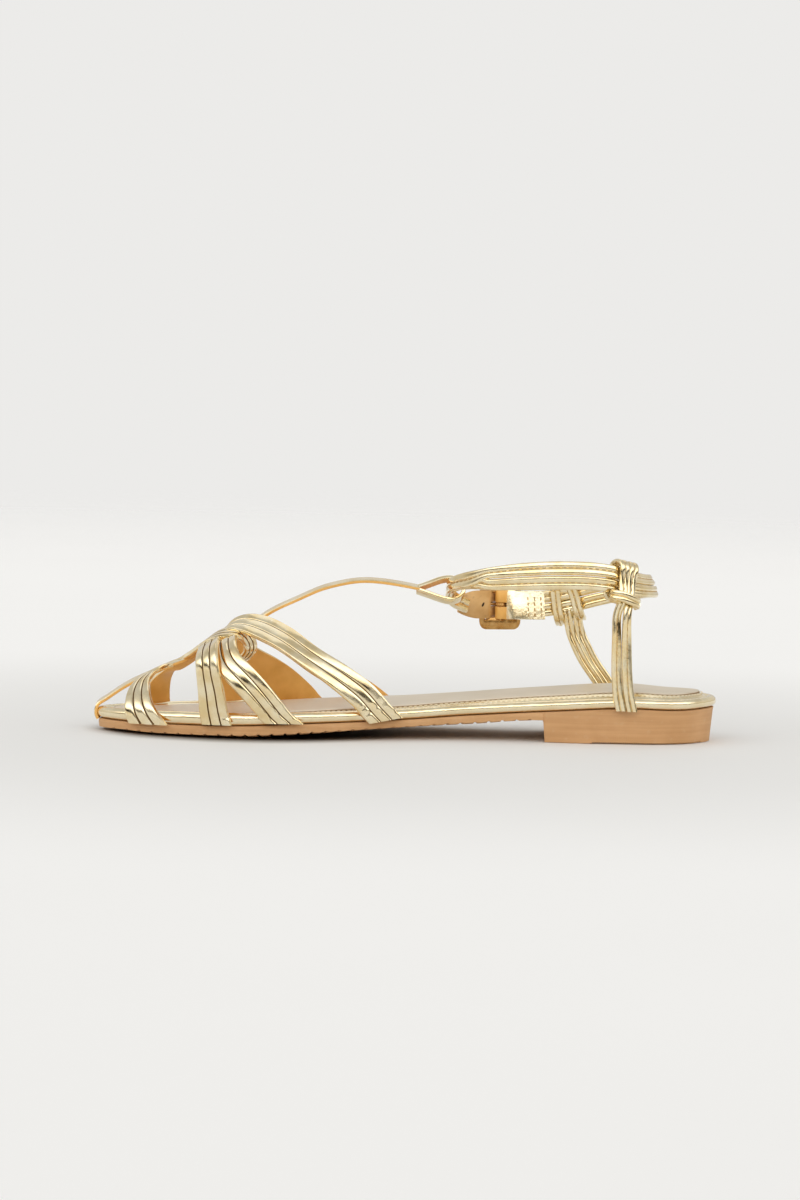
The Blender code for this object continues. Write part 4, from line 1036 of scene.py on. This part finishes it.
THIN_WIDTH, THIN_THICK = 5.5, 1.4
THIN_TILT = math.radians(9)  # its inner edge lies a little lower
THIN_STRAP = table(
    PLACES,
    (-124.4, -5, 4.4), (-125.3, -5, 6.2), (-125.4, -5, 8.4), (-124.6, -5, 10.4),
    (-122.4, -4.8, 12.1), (-118.2, -4.4, 15), (-112.1, -3.4, 18.9), (-104, -2.2, 22.8),
    (-98, -1, 25.6), (-91, 0.6, 28.4), (-84, 0.6, 31.6), (-77, 0, 36.6), (-70, 0, 39.6),
    (-64, 0, 43), (-58.4, 0, 47.1), (-52, 0, 50.9), (-43.9, 0, 54.7), (-35.9, 0, 58.4),
    (-27.8, 0, 60.8), (-19.7, 0, 62.2), (-11.6, 0, 62.1), (-3.5, 0, 61.1), (4.6, 0, 59.7),
)
ANKLE_LOOP = table(
    "along up",
    (4, 0.7), (9, 2.7), (14, 4.6), (18.8, 4.6), (22, 2), (22, -1.8), (19.4, -4.3),
    (13.8, -4.1), (8.6, -2.3), (3.4, -0.5),
)
LOOP_CENTRE_Z = 58.9
LOOP_TILT = math.radians(26)
LOOP_WIDTH = 5.0


def section_of(*rows):
    """Section of a strap in shares of its width and thickness, with finishes."""
    across, up, kinds = np.array(rows).T
    return across, up, kinds.astype(int)


# Two plies, foil above and lining below, their edges eased.
FLAT = section_of(
    (-0.44, 0.5, FOIL), (0.0, 0.54, FOIL), (0.44, 0.5, FOIL), (0.5, 0.26, LINING),
    (0.5, -0.36, LINING), (0.46, -0.5, LINING), (-0.46, -0.5, LINING),
    (-0.5, -0.36, LINING), (-0.5, 0.26, FOIL),
)


def strip_skin(points, sideways, width, thick, section):
    """Skin of a strap centred on its route."""
    across, outward = strap_axes(points, sideways)[1:]
    place, up, kinds = section
    wide, high = np.reshape(width, (-1, 1)) * place, np.reshape(thick, (-1, 1)) * up
    return skin(laid_out(points, across, outward, wide, high), kinds, ends=True)


sideways = np.array([[0.0, -math.cos(THIN_TILT), -math.sin(THIN_TILT)]])
thin_route = free_curve(rows_of(THIN_STRAP), 220)
thin_skin = strip_skin(thin_route, sideways, THIN_WIDTH, THIN_THICK, FLAT)
new_piece("thin_strap", "vamp_straps", [thin_skin], band_finishes)

loop_up = np.array([0.0, math.sin(LOOP_TILT), math.cos(LOOP_TILT)])
loop_flat = free_curve(rows_of(ANKLE_LOOP), 90)
loop_route = np.outer(loop_flat[:, 0], (1.0, 0.0, 0.0)) + np.outer(loop_flat[:, 1], loop_up)
loop_route[:, 2] += LOOP_CENTRE_Z
loop_side = np.array([[0.0, -math.cos(LOOP_TILT), math.sin(LOOP_TILT)]])
LOOP_SECTION = (*FLAT[:2], np.where(FLAT[1] > -0.4, FOIL, LINING))  # foil down its edges
loop_skin = strip_skin(loop_route, loop_side, LOOP_WIDTH, THIN_THICK, LOOP_SECTION)
new_piece("ankle_loop", "vamp_straps", [loop_skin], band_finishes)

# ---------------------------------------------------------------- ankle strap
# Two narrow bands side by side, each turned over two cords and sewn between
# them. They run from the buckle tab round the heel and, one on the other,
# through the loop of the thin strap to the strap end.
ANKLE = table(
    "along across height width thick",
    (53, 28.1, 52, 10.6, 2), (58, 28.9, 52.5, 10.6, 2), (66, 28.8, 54, 10.6, 2),
    (75, 26.6, 56.6, 10.4, 2), (84, 22.2, 58.9, 10, 2), (92, 15.4, 60.4, 9.6, 2),
    (96.8, 7.6, 61.4, 9.4, 2), (98.2, 0, 62, 9.4, 2), (96.8, -7.6, 62.4, 9.4, 2),
    (92.6, -15, 63.2, 9.6, 2), (86.4, -20.6, 64.8, 10.2, 2), (78, -24.6, 66.6, 10.8, 2),
    (67, -27.2, 67.4, 11, 2), (54, -27.6, 67.1, 11, 2), (42, -25.6, 66.2, 10.2, 2),
    (31.5, -21, 65, 8.4, 2.2), (23.6, -13.6, 63.4, 6.6, 2.6), (19.2, -5.4, 61.2, 5.8, 3),
    (18.2, 2, 58.4, 5.8, 3), (19.4, 9, 55, 5.8, 2.8), (25, 18.5, 51.4, 6, 2.4),
)
ANKLE_CUTS, PASS_CUTS = 330, 400
ANKLE_LEAN, BACK_LEAN = 0.1, 0.3
BEHIND_FROM, BEHIND_RUN = 84.0, 12.0  # behind the heel the strap leans out more
TWIST, TWIST_AT, TWIST_REACH = 0.16, 36.0, 6.0
STACK_WIDTHS = (6.4, 8.8)  # widths between which the bands go from stacked to side by side
BAND_TURN = math.radians(9)  # each band turns a little away from the other
BAND_SPREAD = 0.1


def eased(value, low, high):
    """Soft step of a value: 3 share^2 - 2 share^3 between low and high."""
    share = np.clip((value - low) / (high - low), 0, 1)
    return share**2 * (3 - 2 * share)


def ankle_route(count):
    """Lining points, outward directions, widths and thicknesses along the strap."""
    rows = free_curve(rows_of(ANKLE), count)
    forward = way_of(rows[:, :3])
    behind = eased(rows[:, 0:1], BEHIND_FROM, BEHIND_FROM + BEHIND_RUN)
    near_side = np.exp(-(((rows[:, 0:1] - TWIST_AT) / TWIST_REACH) ** 2)) * (rows[:, 1:2] < 0)
    lean = ANKLE_LEAN + BACK_LEAN * behind - TWIST * near_side
    outward = unit(np.cross([0.0, 0.0, 1.0], forward)) + [0.0, 0.0, 1.0] * lean
    return rows[:, :3], unit(outward), rows[:, 3:4], rows[:, 4:5]


def ankle_band(hand):
    """Edges and thickness of the upper (1) or lower (-1) band.

    Side by side its middle lies a quarter of the width up or down; stacked it
    lies inside or outside the other; between, a soft step mixes the two.
    """
    points, outward, width, thick = ankle_route(ANKLE_CUTS)
    forward = way_of(points)
    up = unit(np.cross(forward, outward))
    out = np.cross(up, forward)
    apart = eased(width, *STACK_WIDTHS)
    beside = up * (width * hand / 4)
    stacked = out * (thick / 2 if hand > 0 else 0.0)
    centre = points + beside * apart + stacked * (1 - apart)
    turn = BAND_TURN * hand * apart
    across = up * np.cos(turn) - out * np.sin(turn)
    half = across * (width * (1 - apart / 2) + BAND_SPREAD) / 2
    return np.hstack([centre - half, centre + half]), thick * (1 + apart) / 2


CORD_VALLEY = 0.34
VALLEY_STITCH = (2.7, 1.7, 0.8, 0.5)  # pitch, length, width and height
VALLEY_TRIM = 2.0


def corded_section():
    """Section of a band turned over two cords, alike on both faces, sewn between.

    Half of its height is valley + (1 - valley) times the root of 1 - |place| to 2.6.
    """
    places = np.linspace(-1, 1, 11)[:-1]
    round_top = np.sqrt(np.clip(1 - np.abs(places) ** 2.6, 0, 1))
    crown = CORD_VALLEY + (1 - CORD_VALLEY) * round_top
    across = np.concatenate([places / 4 - 0.25, places / 4 + 0.25, [0.5]])
    half = np.concatenate([crown, crown, [CORD_VALLEY]]) / 2
    half[[0, -1]] *= 0.5  # its sides are rounded off
    across = np.concatenate([across, across[-1:0:-1], across[:1]])
    up = np.concatenate([0.5 + half, 0.5 - half[-1:0:-1], 0.5 - half[:1]])
    return across, up, np.zeros(len(across), int)


def valley_stitches(edges, thick):
    """Stitches along both faces of a two-cord band, sunk in its valleys."""
    line = (edges[:, :3] + edges[:, 3:]) / 2
    forward = way_of(line)
    outward = np.cross(unit(edges[:, 3:] - edges[:, :3]), forward)
    gone = distances(line)
    kept = (gone > VALLEY_TRIM) & (gone < gone[-1] - VALLEY_TRIM)
    rows = []
    for face in (-1, 1):
        raised = line + outward * np.reshape(thick * (0.5 + face * CORD_VALLEY / 2), (-1, 1))
        rows.append(stitch_row(raised[kept], outward[kept] * face, VALLEY_STITCH))
    return rows


corded = corded_section()
cord_foil = foil_finish("corded_foil", 0.11, 0.035, 0.02, 0.008)
gold_thread = thread_finish("strap_thread", (0.56, 0.36, 0.15))
ankle_seams = []
for band_name, hand in (("ankle_band_lower", -1), ("ankle_band_upper", 1)):
    edges, thick = ankle_band(hand)
    band = band_skin(edges, thick, corded)
    new_piece(band_name, "ankle_strap", [band], [cord_foil])
    ankle_seams += valley_stitches(edges, thick)
new_piece("ankle_stitches", "ankle_strap", ankle_seams, [gold_thread])

# ---------------------------------------------------------------- heel straps
# Each is two corded bands from the rim. At the ankle strap they go up inside,
# over it and down outside, and a bar of the same band holds them in a hitch.
HEEL_STRAP_THICK = 1.8
STRAND_PITCH, STRAND_WIDE, STRAND_CUTS = 4.5, 4.2, 150
STAGGER = 0.1  # one band starts a little higher than the other
HEEL_STRAPS = {
    "heel_strap_inner": {
        "side": -1,
        "hitch_at": 85.6,
        "bar_share": 1.0,
        "rise": table(
            PLACES,
            (88, -28.1, 13.6), (86.8, -28, 19), (85.4, -27.5, 32), (84.9, -26.9, 46),
            (85.1, -26.5, 53),
        ),
    },
    "heel_strap_outer": {
        "side": 1,
        "hitch_at": 65.2,
        "bar_share": 0.7,
        "rise": table(
            PLACES,
            (84.9, 28.9, 13.6), (82, 29, 19.2), (78.4, 29.2, 24.4), (74.3, 29.4, 30.4),
            (71, 29.6, 37), (68.7, 29.6, 43.6), (67.5, 29.2, 50),
        ),
    },
}
HITCH = table(
    "side out up edge",
    (1.9, 2.4, -2, -1), (2.1, 1.9, 2.6, -1), (2.2, 1.9, -2.4, 1), (2.5, 1.7, 0.3, 1),
    (2.9, 0, 1.6, 1), (3.4, -2.3, 1, 1), (4.1, -2.8, -2.2, 1), (4.6, -2.8, 2.6, -1),
    (4.8, -2.5, -0.6, -1), (4.9, -0.2, -2.3, -1), (4.9, 2, -3, -1), (4.4, 4.6, -2.6, -1),
)
HITCH_BAR = table(
    "side out slant",
    (-5.2, 1.6, -0.8), (-4.5, 4, -0.7), (-2.4, 5, -0.4), (0, 5.2, 0), (2.4, 5, 0.4),
    (4.5, 4, 0.7), (5.2, 1.6, 0.8),
)
BAR_DROP, BAR_HEIGHT = 2.4, 4.4
HITCH_SHARE = 0.9
PINCH, PINCH_REACH = 0.86, 10.0  # the bar squeezes both bands narrower under itself


def ankle_place(along, side):
    """Axes where the ankle strap passes a place: centre, along it, outward and up it."""
    points, outward, width, thick = ankle_route(PASS_CUTS)
    off = np.abs(points[:, 0] - along)
    near = int(np.argmin(np.where(points[:, 1] * side < 0, np.inf, off)))
    forward = unit(points[near + 1] - points[near - 1])
    up = unit(np.cross(forward, outward[near]))
    out = np.cross(up, forward)
    return points[near] + out * thick[near] / 2, forward, out, up, width[near] / 2


def heel_strand(plan, hand):
    """Edges of one band of a heel strap, up its rise and round its hitch."""
    centre, forward, out, up, half = ankle_place(plan["hitch_at"], plan["side"])
    rise = rows_of(plan["rise"])
    foot_side = np.array([float(plan["side"]), 0.0, 0.0])
    beside = HITCH["side"] * HITCH_SHARE * hand
    local = np.stack([beside, HITCH["out"], HITCH["up"] + HITCH["edge"] * half], 1)
    hitch = centre + local @ np.stack([forward, out, up])
    narrowed = np.linspace(1.0, PINCH, len(rise))[:, None]
    lower = rise + foot_side * hand * STRAND_PITCH / 2 * narrowed
    lower[0, 2] += STAGGER * hand
    rows = np.concatenate([lower, hitch])
    travelled = distances(rows)
    points = free_curve(rows, STRAND_CUTS)
    gone = np.linspace(0, travelled[-1], STRAND_CUTS)
    heading = way_of(points)
    risen = travelled[len(rise) - 1]
    turned = np.clip((gone - travelled[1]) / (risen - travelled[1]), 0, 1)[:, None]
    sideways_now = forward * turned + foot_side * (1 - turned)
    facing = unit(np.cross(heading, sideways_now))
    pinch = (1 - PINCH) * np.exp(-(((gone - risen) / PINCH_REACH) ** 2))[:, None]
    across = unit(np.cross(heading, facing)) * (STRAND_WIDE * (1 - pinch) / 2)
    return np.hstack([points - across, points + across])


for strap_name, plan in HEEL_STRAPS.items():
    skins, seams = [], []
    for hand in (-1, 1):
        edges = heel_strand(plan, hand)
        skins.append(band_skin(edges, HEEL_STRAP_THICK, corded, ((0, 1.0),)))
        seams += valley_stitches(edges, HEEL_STRAP_THICK)
    centre, forward, out, up, half = ankle_place(plan["hitch_at"], plan["side"])
    bar = free_curve(rows_of(HITCH_BAR), 60)
    bar[:, [0, 2]] *= plan["bar_share"]
    bar_line = centre + bar @ np.stack([forward, out, up]) - up * (half + BAR_DROP)
    bar_edges = np.hstack([bar_line - up * BAR_HEIGHT / 2, bar_line + up * BAR_HEIGHT / 2])
    skins.append(band_skin(bar_edges, HEEL_STRAP_THICK, corded))
    new_piece(strap_name + "_bands", strap_name, skins, [cord_foil])
    new_piece(strap_name + "_stitches", strap_name, seams, [gold_thread])

# ---------------------------------------------------------------- buckle
# A plated frame with a middle bar lies flat on the outer side. A gold tab
# folds round the bar and is sewn behind the ankle strap; the prong curls round
# the bar, and the tan strap end passes under frame, over bar, under frame.
BUCKLE_CENTRE = np.array([38.0, 27.2, 51.8])
BUCKLE_YAW = math.radians(12)
RUN = np.array([math.cos(BUCKLE_YAW), math.sin(BUCKLE_YAW), 0.0])
OUT = np.array([-math.sin(BUCKLE_YAW), math.cos(BUCKLE_YAW), 0.0])
UP = np.array([0.0, 0.0, 1.0])
FRAME_RUN, FRAME_HIGH, FRAME_THICK = 17.5, 20.4, 1.8
SIDE_BAR, SHELF_BAR = 2.4, 5.2  # widths of the frame's upright and level bars
FRAME_CORNER, FRAME_HANG = 1.8, -0.2
BAR_RADIUS, PRONG_RADIUS, ROD_SPOKES = 0.8, 0.75, 16
TAB_WIDTH, TAB_PLY = 12.0, 1.0
TAB_TAIL, TAB_LEAN, TAB_FACE = 17.6, 0.3, -5.2
END_THICK, SLOT_HALF = 1.1, 0.85


def by_buckle(points):
    """Places in the buckle's own axes brought to the shoe's."""
    return BUCKLE_CENTRE + np.asarray(points) @ np.stack([RUN, OUT, UP])


def buckle_route(path, count):
    """Smooth rows of a table that starts with run and out, and their places."""
    rows = free_curve(rows_of(path), count)
    return rows, by_buckle(np.column_stack([rows[:, :2], np.zeros(count)]))


def rod_skin(path, wide, deep, first_out, looped=False):
    """Round bar: cosine of the turn times wide, sine times deep, across its route."""
    around = np.roll(path, -1, 0) - np.roll(path, 1, 0)
    forward = unit(around) if looped else way_of(path)
    first = unit(np.cross(forward, first_out))
    turn = full_turn(ROD_SPOKES)[None]
    wide, deep = wide * np.cos(turn), deep * np.sin(turn)
    grid = laid_out(path, first, np.cross(forward, first), wide, deep)
    return skin(grid, ends=not looped, looped=looped)


def metal_finish():
    """Antique gold plating: brushed, a little dull, darker where it has worn."""
    made, place = new_finish("buckle_plating", Metallic=1.0)
    wear = place.noise(300.0, 4.0).between(0.35, 0.7)
    colour = wear.tint((0.52, 0.28, 0.09), (0.74, 0.48, 0.20))
    brush = place.stretched(300.0, 300.0, 2600.0).noise(1.0, 2.0).relief(0.3, 0.03)
    return finished(made, Base_Color=colour, Roughness=0.26 + 0.18 * wear, Normal=brush)


half_run, half_high = (FRAME_RUN - SIDE_BAR) / 2, (FRAME_HIGH - SHELF_BAR) / 2
corner_turn = np.linspace(0, math.pi / 2, 9)
quarter = np.array([(1, 1), (-1, 1), (-1, -1), (1, -1)])
turns = (np.arange(4)[:, None] * math.pi / 2 + corner_turn).ravel()
signs = np.repeat(quarter, len(corner_turn), 0)
frame_line = signs * (np.array([half_run, half_high]) - FRAME_CORNER)
frame_line += FRAME_CORNER * np.stack([np.cos(turns), np.sin(turns)], 1) + [0.0, FRAME_HANG]
frame_line = by_buckle(np.insert(frame_line, 1, 0.0, axis=1))
frame_wide = SIDE_BAR + (SHELF_BAR - SIDE_BAR) * np.sin(turns)[:, None] ** 2
frame_skin = rod_skin(frame_line, frame_wide / 2, FRAME_THICK / 2, OUT, looped=True)
bar_reach = by_buckle([[0.0, 0.0, FRAME_HANG + half_high * end] for end in (-1, 1)])
bar_skin = rod_skin(bar_reach, BAR_RADIUS, BAR_RADIUS, OUT)
plating = metal_finish()
new_piece("frame_plated", "buckle_frame", [frame_skin, bar_skin], [plating])

PRONG = table(
    "run out",
    (-1.7, -1.1), (-0.8, -1.85), (0.6, -1.95), (1.85, -0.8), (1.95, 0.6), (0.8, 1.9),
    (-1.6, 2.3), (-4.6, 2.2), (-7.4, 1.95), (-9.6, 1.8),
)
prong_line = buckle_route(PRONG, 60)[1]
prong_skin = rod_skin(prong_line, PRONG_RADIUS, PRONG_RADIUS, UP)
new_piece("prong_curled", "buckle_prong", [prong_skin], [plating])

STRAP_END = table(
    "run out width",
    (-18.6, -3.8, 6.4), (-15, -2.4, 9.4), (-11.6, -1.9, 11.2), (-8.4, -1.8, 11.6),
    (-6.2, -1.7, 11.6), (-4.4, -0.1, 11.6), (-2.2, 2.7, 11.6), (0.2, 3.75, 11.6),
    (2.4, 2.9, 11.6), (4.4, 0.4, 11.6), (6.2, -1.7, 11.6), (8.6, -1.8, 11.4), (11, -1.8, 10),
    (13, -1.8, 6),
)

PLY = section_of(  # a single square ply, its edges eased
    (-0.47, 0.5, 0), (0.47, 0.5, 0), (0.5, 0.38, 0), (0.5, -0.38, 0),
    (0.47, -0.5, 0), (-0.47, -0.5, 0), (-0.5, -0.38, 0), (-0.5, 0.38, 0),
)
SLOT_LAP = 0.5  # how far the two narrow strips run past the slot's ends


def slotted_strip(points, width, thick, slot_from, slot_to, lean=0.0, beside_kind=0):
    """One strip before and after a slot, and two narrow ones beside it.

    The lean tips its upper edge outward, by a share of its height.
    """
    upward = UP + OUT * np.broadcast_to(np.reshape(lean, (-1, 1)), (len(points), 1))
    width = np.broadcast_to(np.reshape(width, (-1, 1)), (len(points), 1))
    gone = distances(points)
    skins = []
    for kept in (gone <= slot_from, gone >= slot_to):
        skins.append(strip_skin(points[kept], upward[kept], width[kept], thick, PLY))
    kept = (gone > slot_from - SLOT_LAP) & (gone < slot_to + SLOT_LAP)
    side_width = width[kept] / 2 - SLOT_HALF
    narrow = (*PLY[:2], PLY[2] + beside_kind)
    for hand in (-1, 1):
        beside = points[kept] + upward[kept] * hand * (SLOT_HALF + side_width / 2)
        skins.append(strip_skin(beside, upward[kept], side_width, thick, narrow))
    return skins


def billet_finish():
    """Vegetable-tanned strap leather: warm, waxy, with fine pores and soft marks."""
    made, place = new_finish("strap_end_leather")
    cloud = place.noise(160.0, 4.0)
    colour = cloud.between(0.3, 0.72).tint((0.56, 0.31, 0.10), (0.68, 0.42, 0.175))
    mark = place.noise(500.0, 5.0).between(0.6, 0.75) * 0.5
    colour = mark.tint(colour, (0.36, 0.19, 0.07))
    pores = (place.noise(1700.0, 3.0) + cloud * 4.0).relief(0.5, 0.05)
    return finished(made, Base_Color=colour, Roughness=0.34 + 0.2 * cloud, Normal=pores)


END_SLOT = (-4.6, 0.9)  # the prong passes through the strap end between these runs
end_rows, end_line = buckle_route(STRAP_END, 150)
slot_ends = [distances(end_line)[np.argmin(np.abs(end_rows[:, 0] - run))] for run in END_SLOT]
end_skins = slotted_strip(end_line, end_rows[:, 2], END_THICK, *slot_ends)
new_piece("strap_end_ply", "strap_end", end_skins, [billet_finish()])

HOLE_RUN, HOLE_LONG, HOLE_NARROW, HOLE_SPOKES = -7.8, 0.9, 0.36, 24
HOLE_LIFT = 0.02
SLIT = RUN * 0.45 + UP * 0.89
# Steps of the hole from its middle to its back: share of the slit's size, height.
HOLE_STEPS = ((0.0, 0.0), (0.9, 0.0), (1.0, 0.06), (1.12, 0.0), (1.12, -0.2), (0.0, -0.2))


def punched_hole():
    """Rim of a hole pulled to a slit on the inner face: a shallow ring, a dark floor."""
    at = int(np.argmin(np.abs(end_rows[:, 0] - HOLE_RUN)))
    centre = end_line[at] - OUT * (END_THICK / 2 + HOLE_LIFT)
    turn = full_turn(HOLE_SPOKES)
    ring = np.outer(np.cos(turn), SLIT) * HOLE_LONG
    ring += np.outer(np.sin(turn), np.cross(SLIT, OUT)) * HOLE_NARROW
    return skin(np.array([centre + ring * wide - OUT * high for wide, high in HOLE_STEPS]))


HOLE_TONES = ((0.02, 0.01, 0.005), (0.06, 0.03, 0.012))  # unlit inside of the leather
hole = mottled_finish("hole_shadow", 0.9, 0.0, (1200.0,) * 3, 3.0, HOLE_TONES, (0.0, 0.0))
new_piece("strap_end_hole", "strap_end", [punched_hole()], [hole])

TAB_ROUTE = table(
    "run out",
    (TAB_TAIL, -4.65), (12, -4.65), (7, -4.6), (4.6, -4.1), (2.6, -3), (0.6, -1.66),
    (-1, -1.26), (-1.6, 0), (-1.1, 1.16), (0, 1.6), (1.3, 1), (2.9, -1), (4.6, -2.9),
    (7, -3.6), (12, -3.65), (TAB_TAIL, -3.65),
)
TAB_SLOT_RUN, LEAN_FROM, LEAN_RUN = 2.4, 2.0, 3.0
tab_rows, tab_line = buckle_route(TAB_ROUTE, 160)
in_slot = distances(tab_line)[tab_rows[:, 0] < TAB_SLOT_RUN]
tab_lean = TAB_LEAN * np.clip((tab_rows[:, 0] - LEAN_FROM) / LEAN_RUN, 0, 1)
tab_slot = (in_slot[0], in_slot[-1], tab_lean, LINING)
tab_skins = slotted_strip(tab_line, TAB_WIDTH, TAB_PLY, *tab_slot)
# Painted highlight: the tab is the straps' foil made paler (pale 0.9), standing in for the
# bright light it catches.
tab_foil_painted_highlight = foil_finish("tab_foil_painted_highlight", 0.2, 0.22, 0.0, 0.05, 0.9, (0.0475, 0.0505))
new_piece("tab_fold", "buckle_tab", tab_skins, [tab_foil_painted_highlight, tan_lining])

TAB_STITCH, TAB_SEAM_RUNS, SEAM_TRIM = (2.3, 1.6, 0.6, 0.4), (10.6, 13.4, 16.2), 1.0
tab_rise = np.linspace(SEAM_TRIM - TAB_WIDTH / 2, TAB_WIDTH / 2 - SEAM_TRIM, 50)
tab_seams = []
for seam_run in TAB_SEAM_RUNS:
    places = np.stack([0 * tab_rise + seam_run, TAB_FACE + TAB_LEAN * tab_rise, tab_rise], 1)
    tab_seams.append(stitch_row(by_buckle(places), np.tile(-OUT, (50, 1)), TAB_STITCH))
new_piece("tab_stitches", "buckle_tab", tab_seams, [gold_thread])
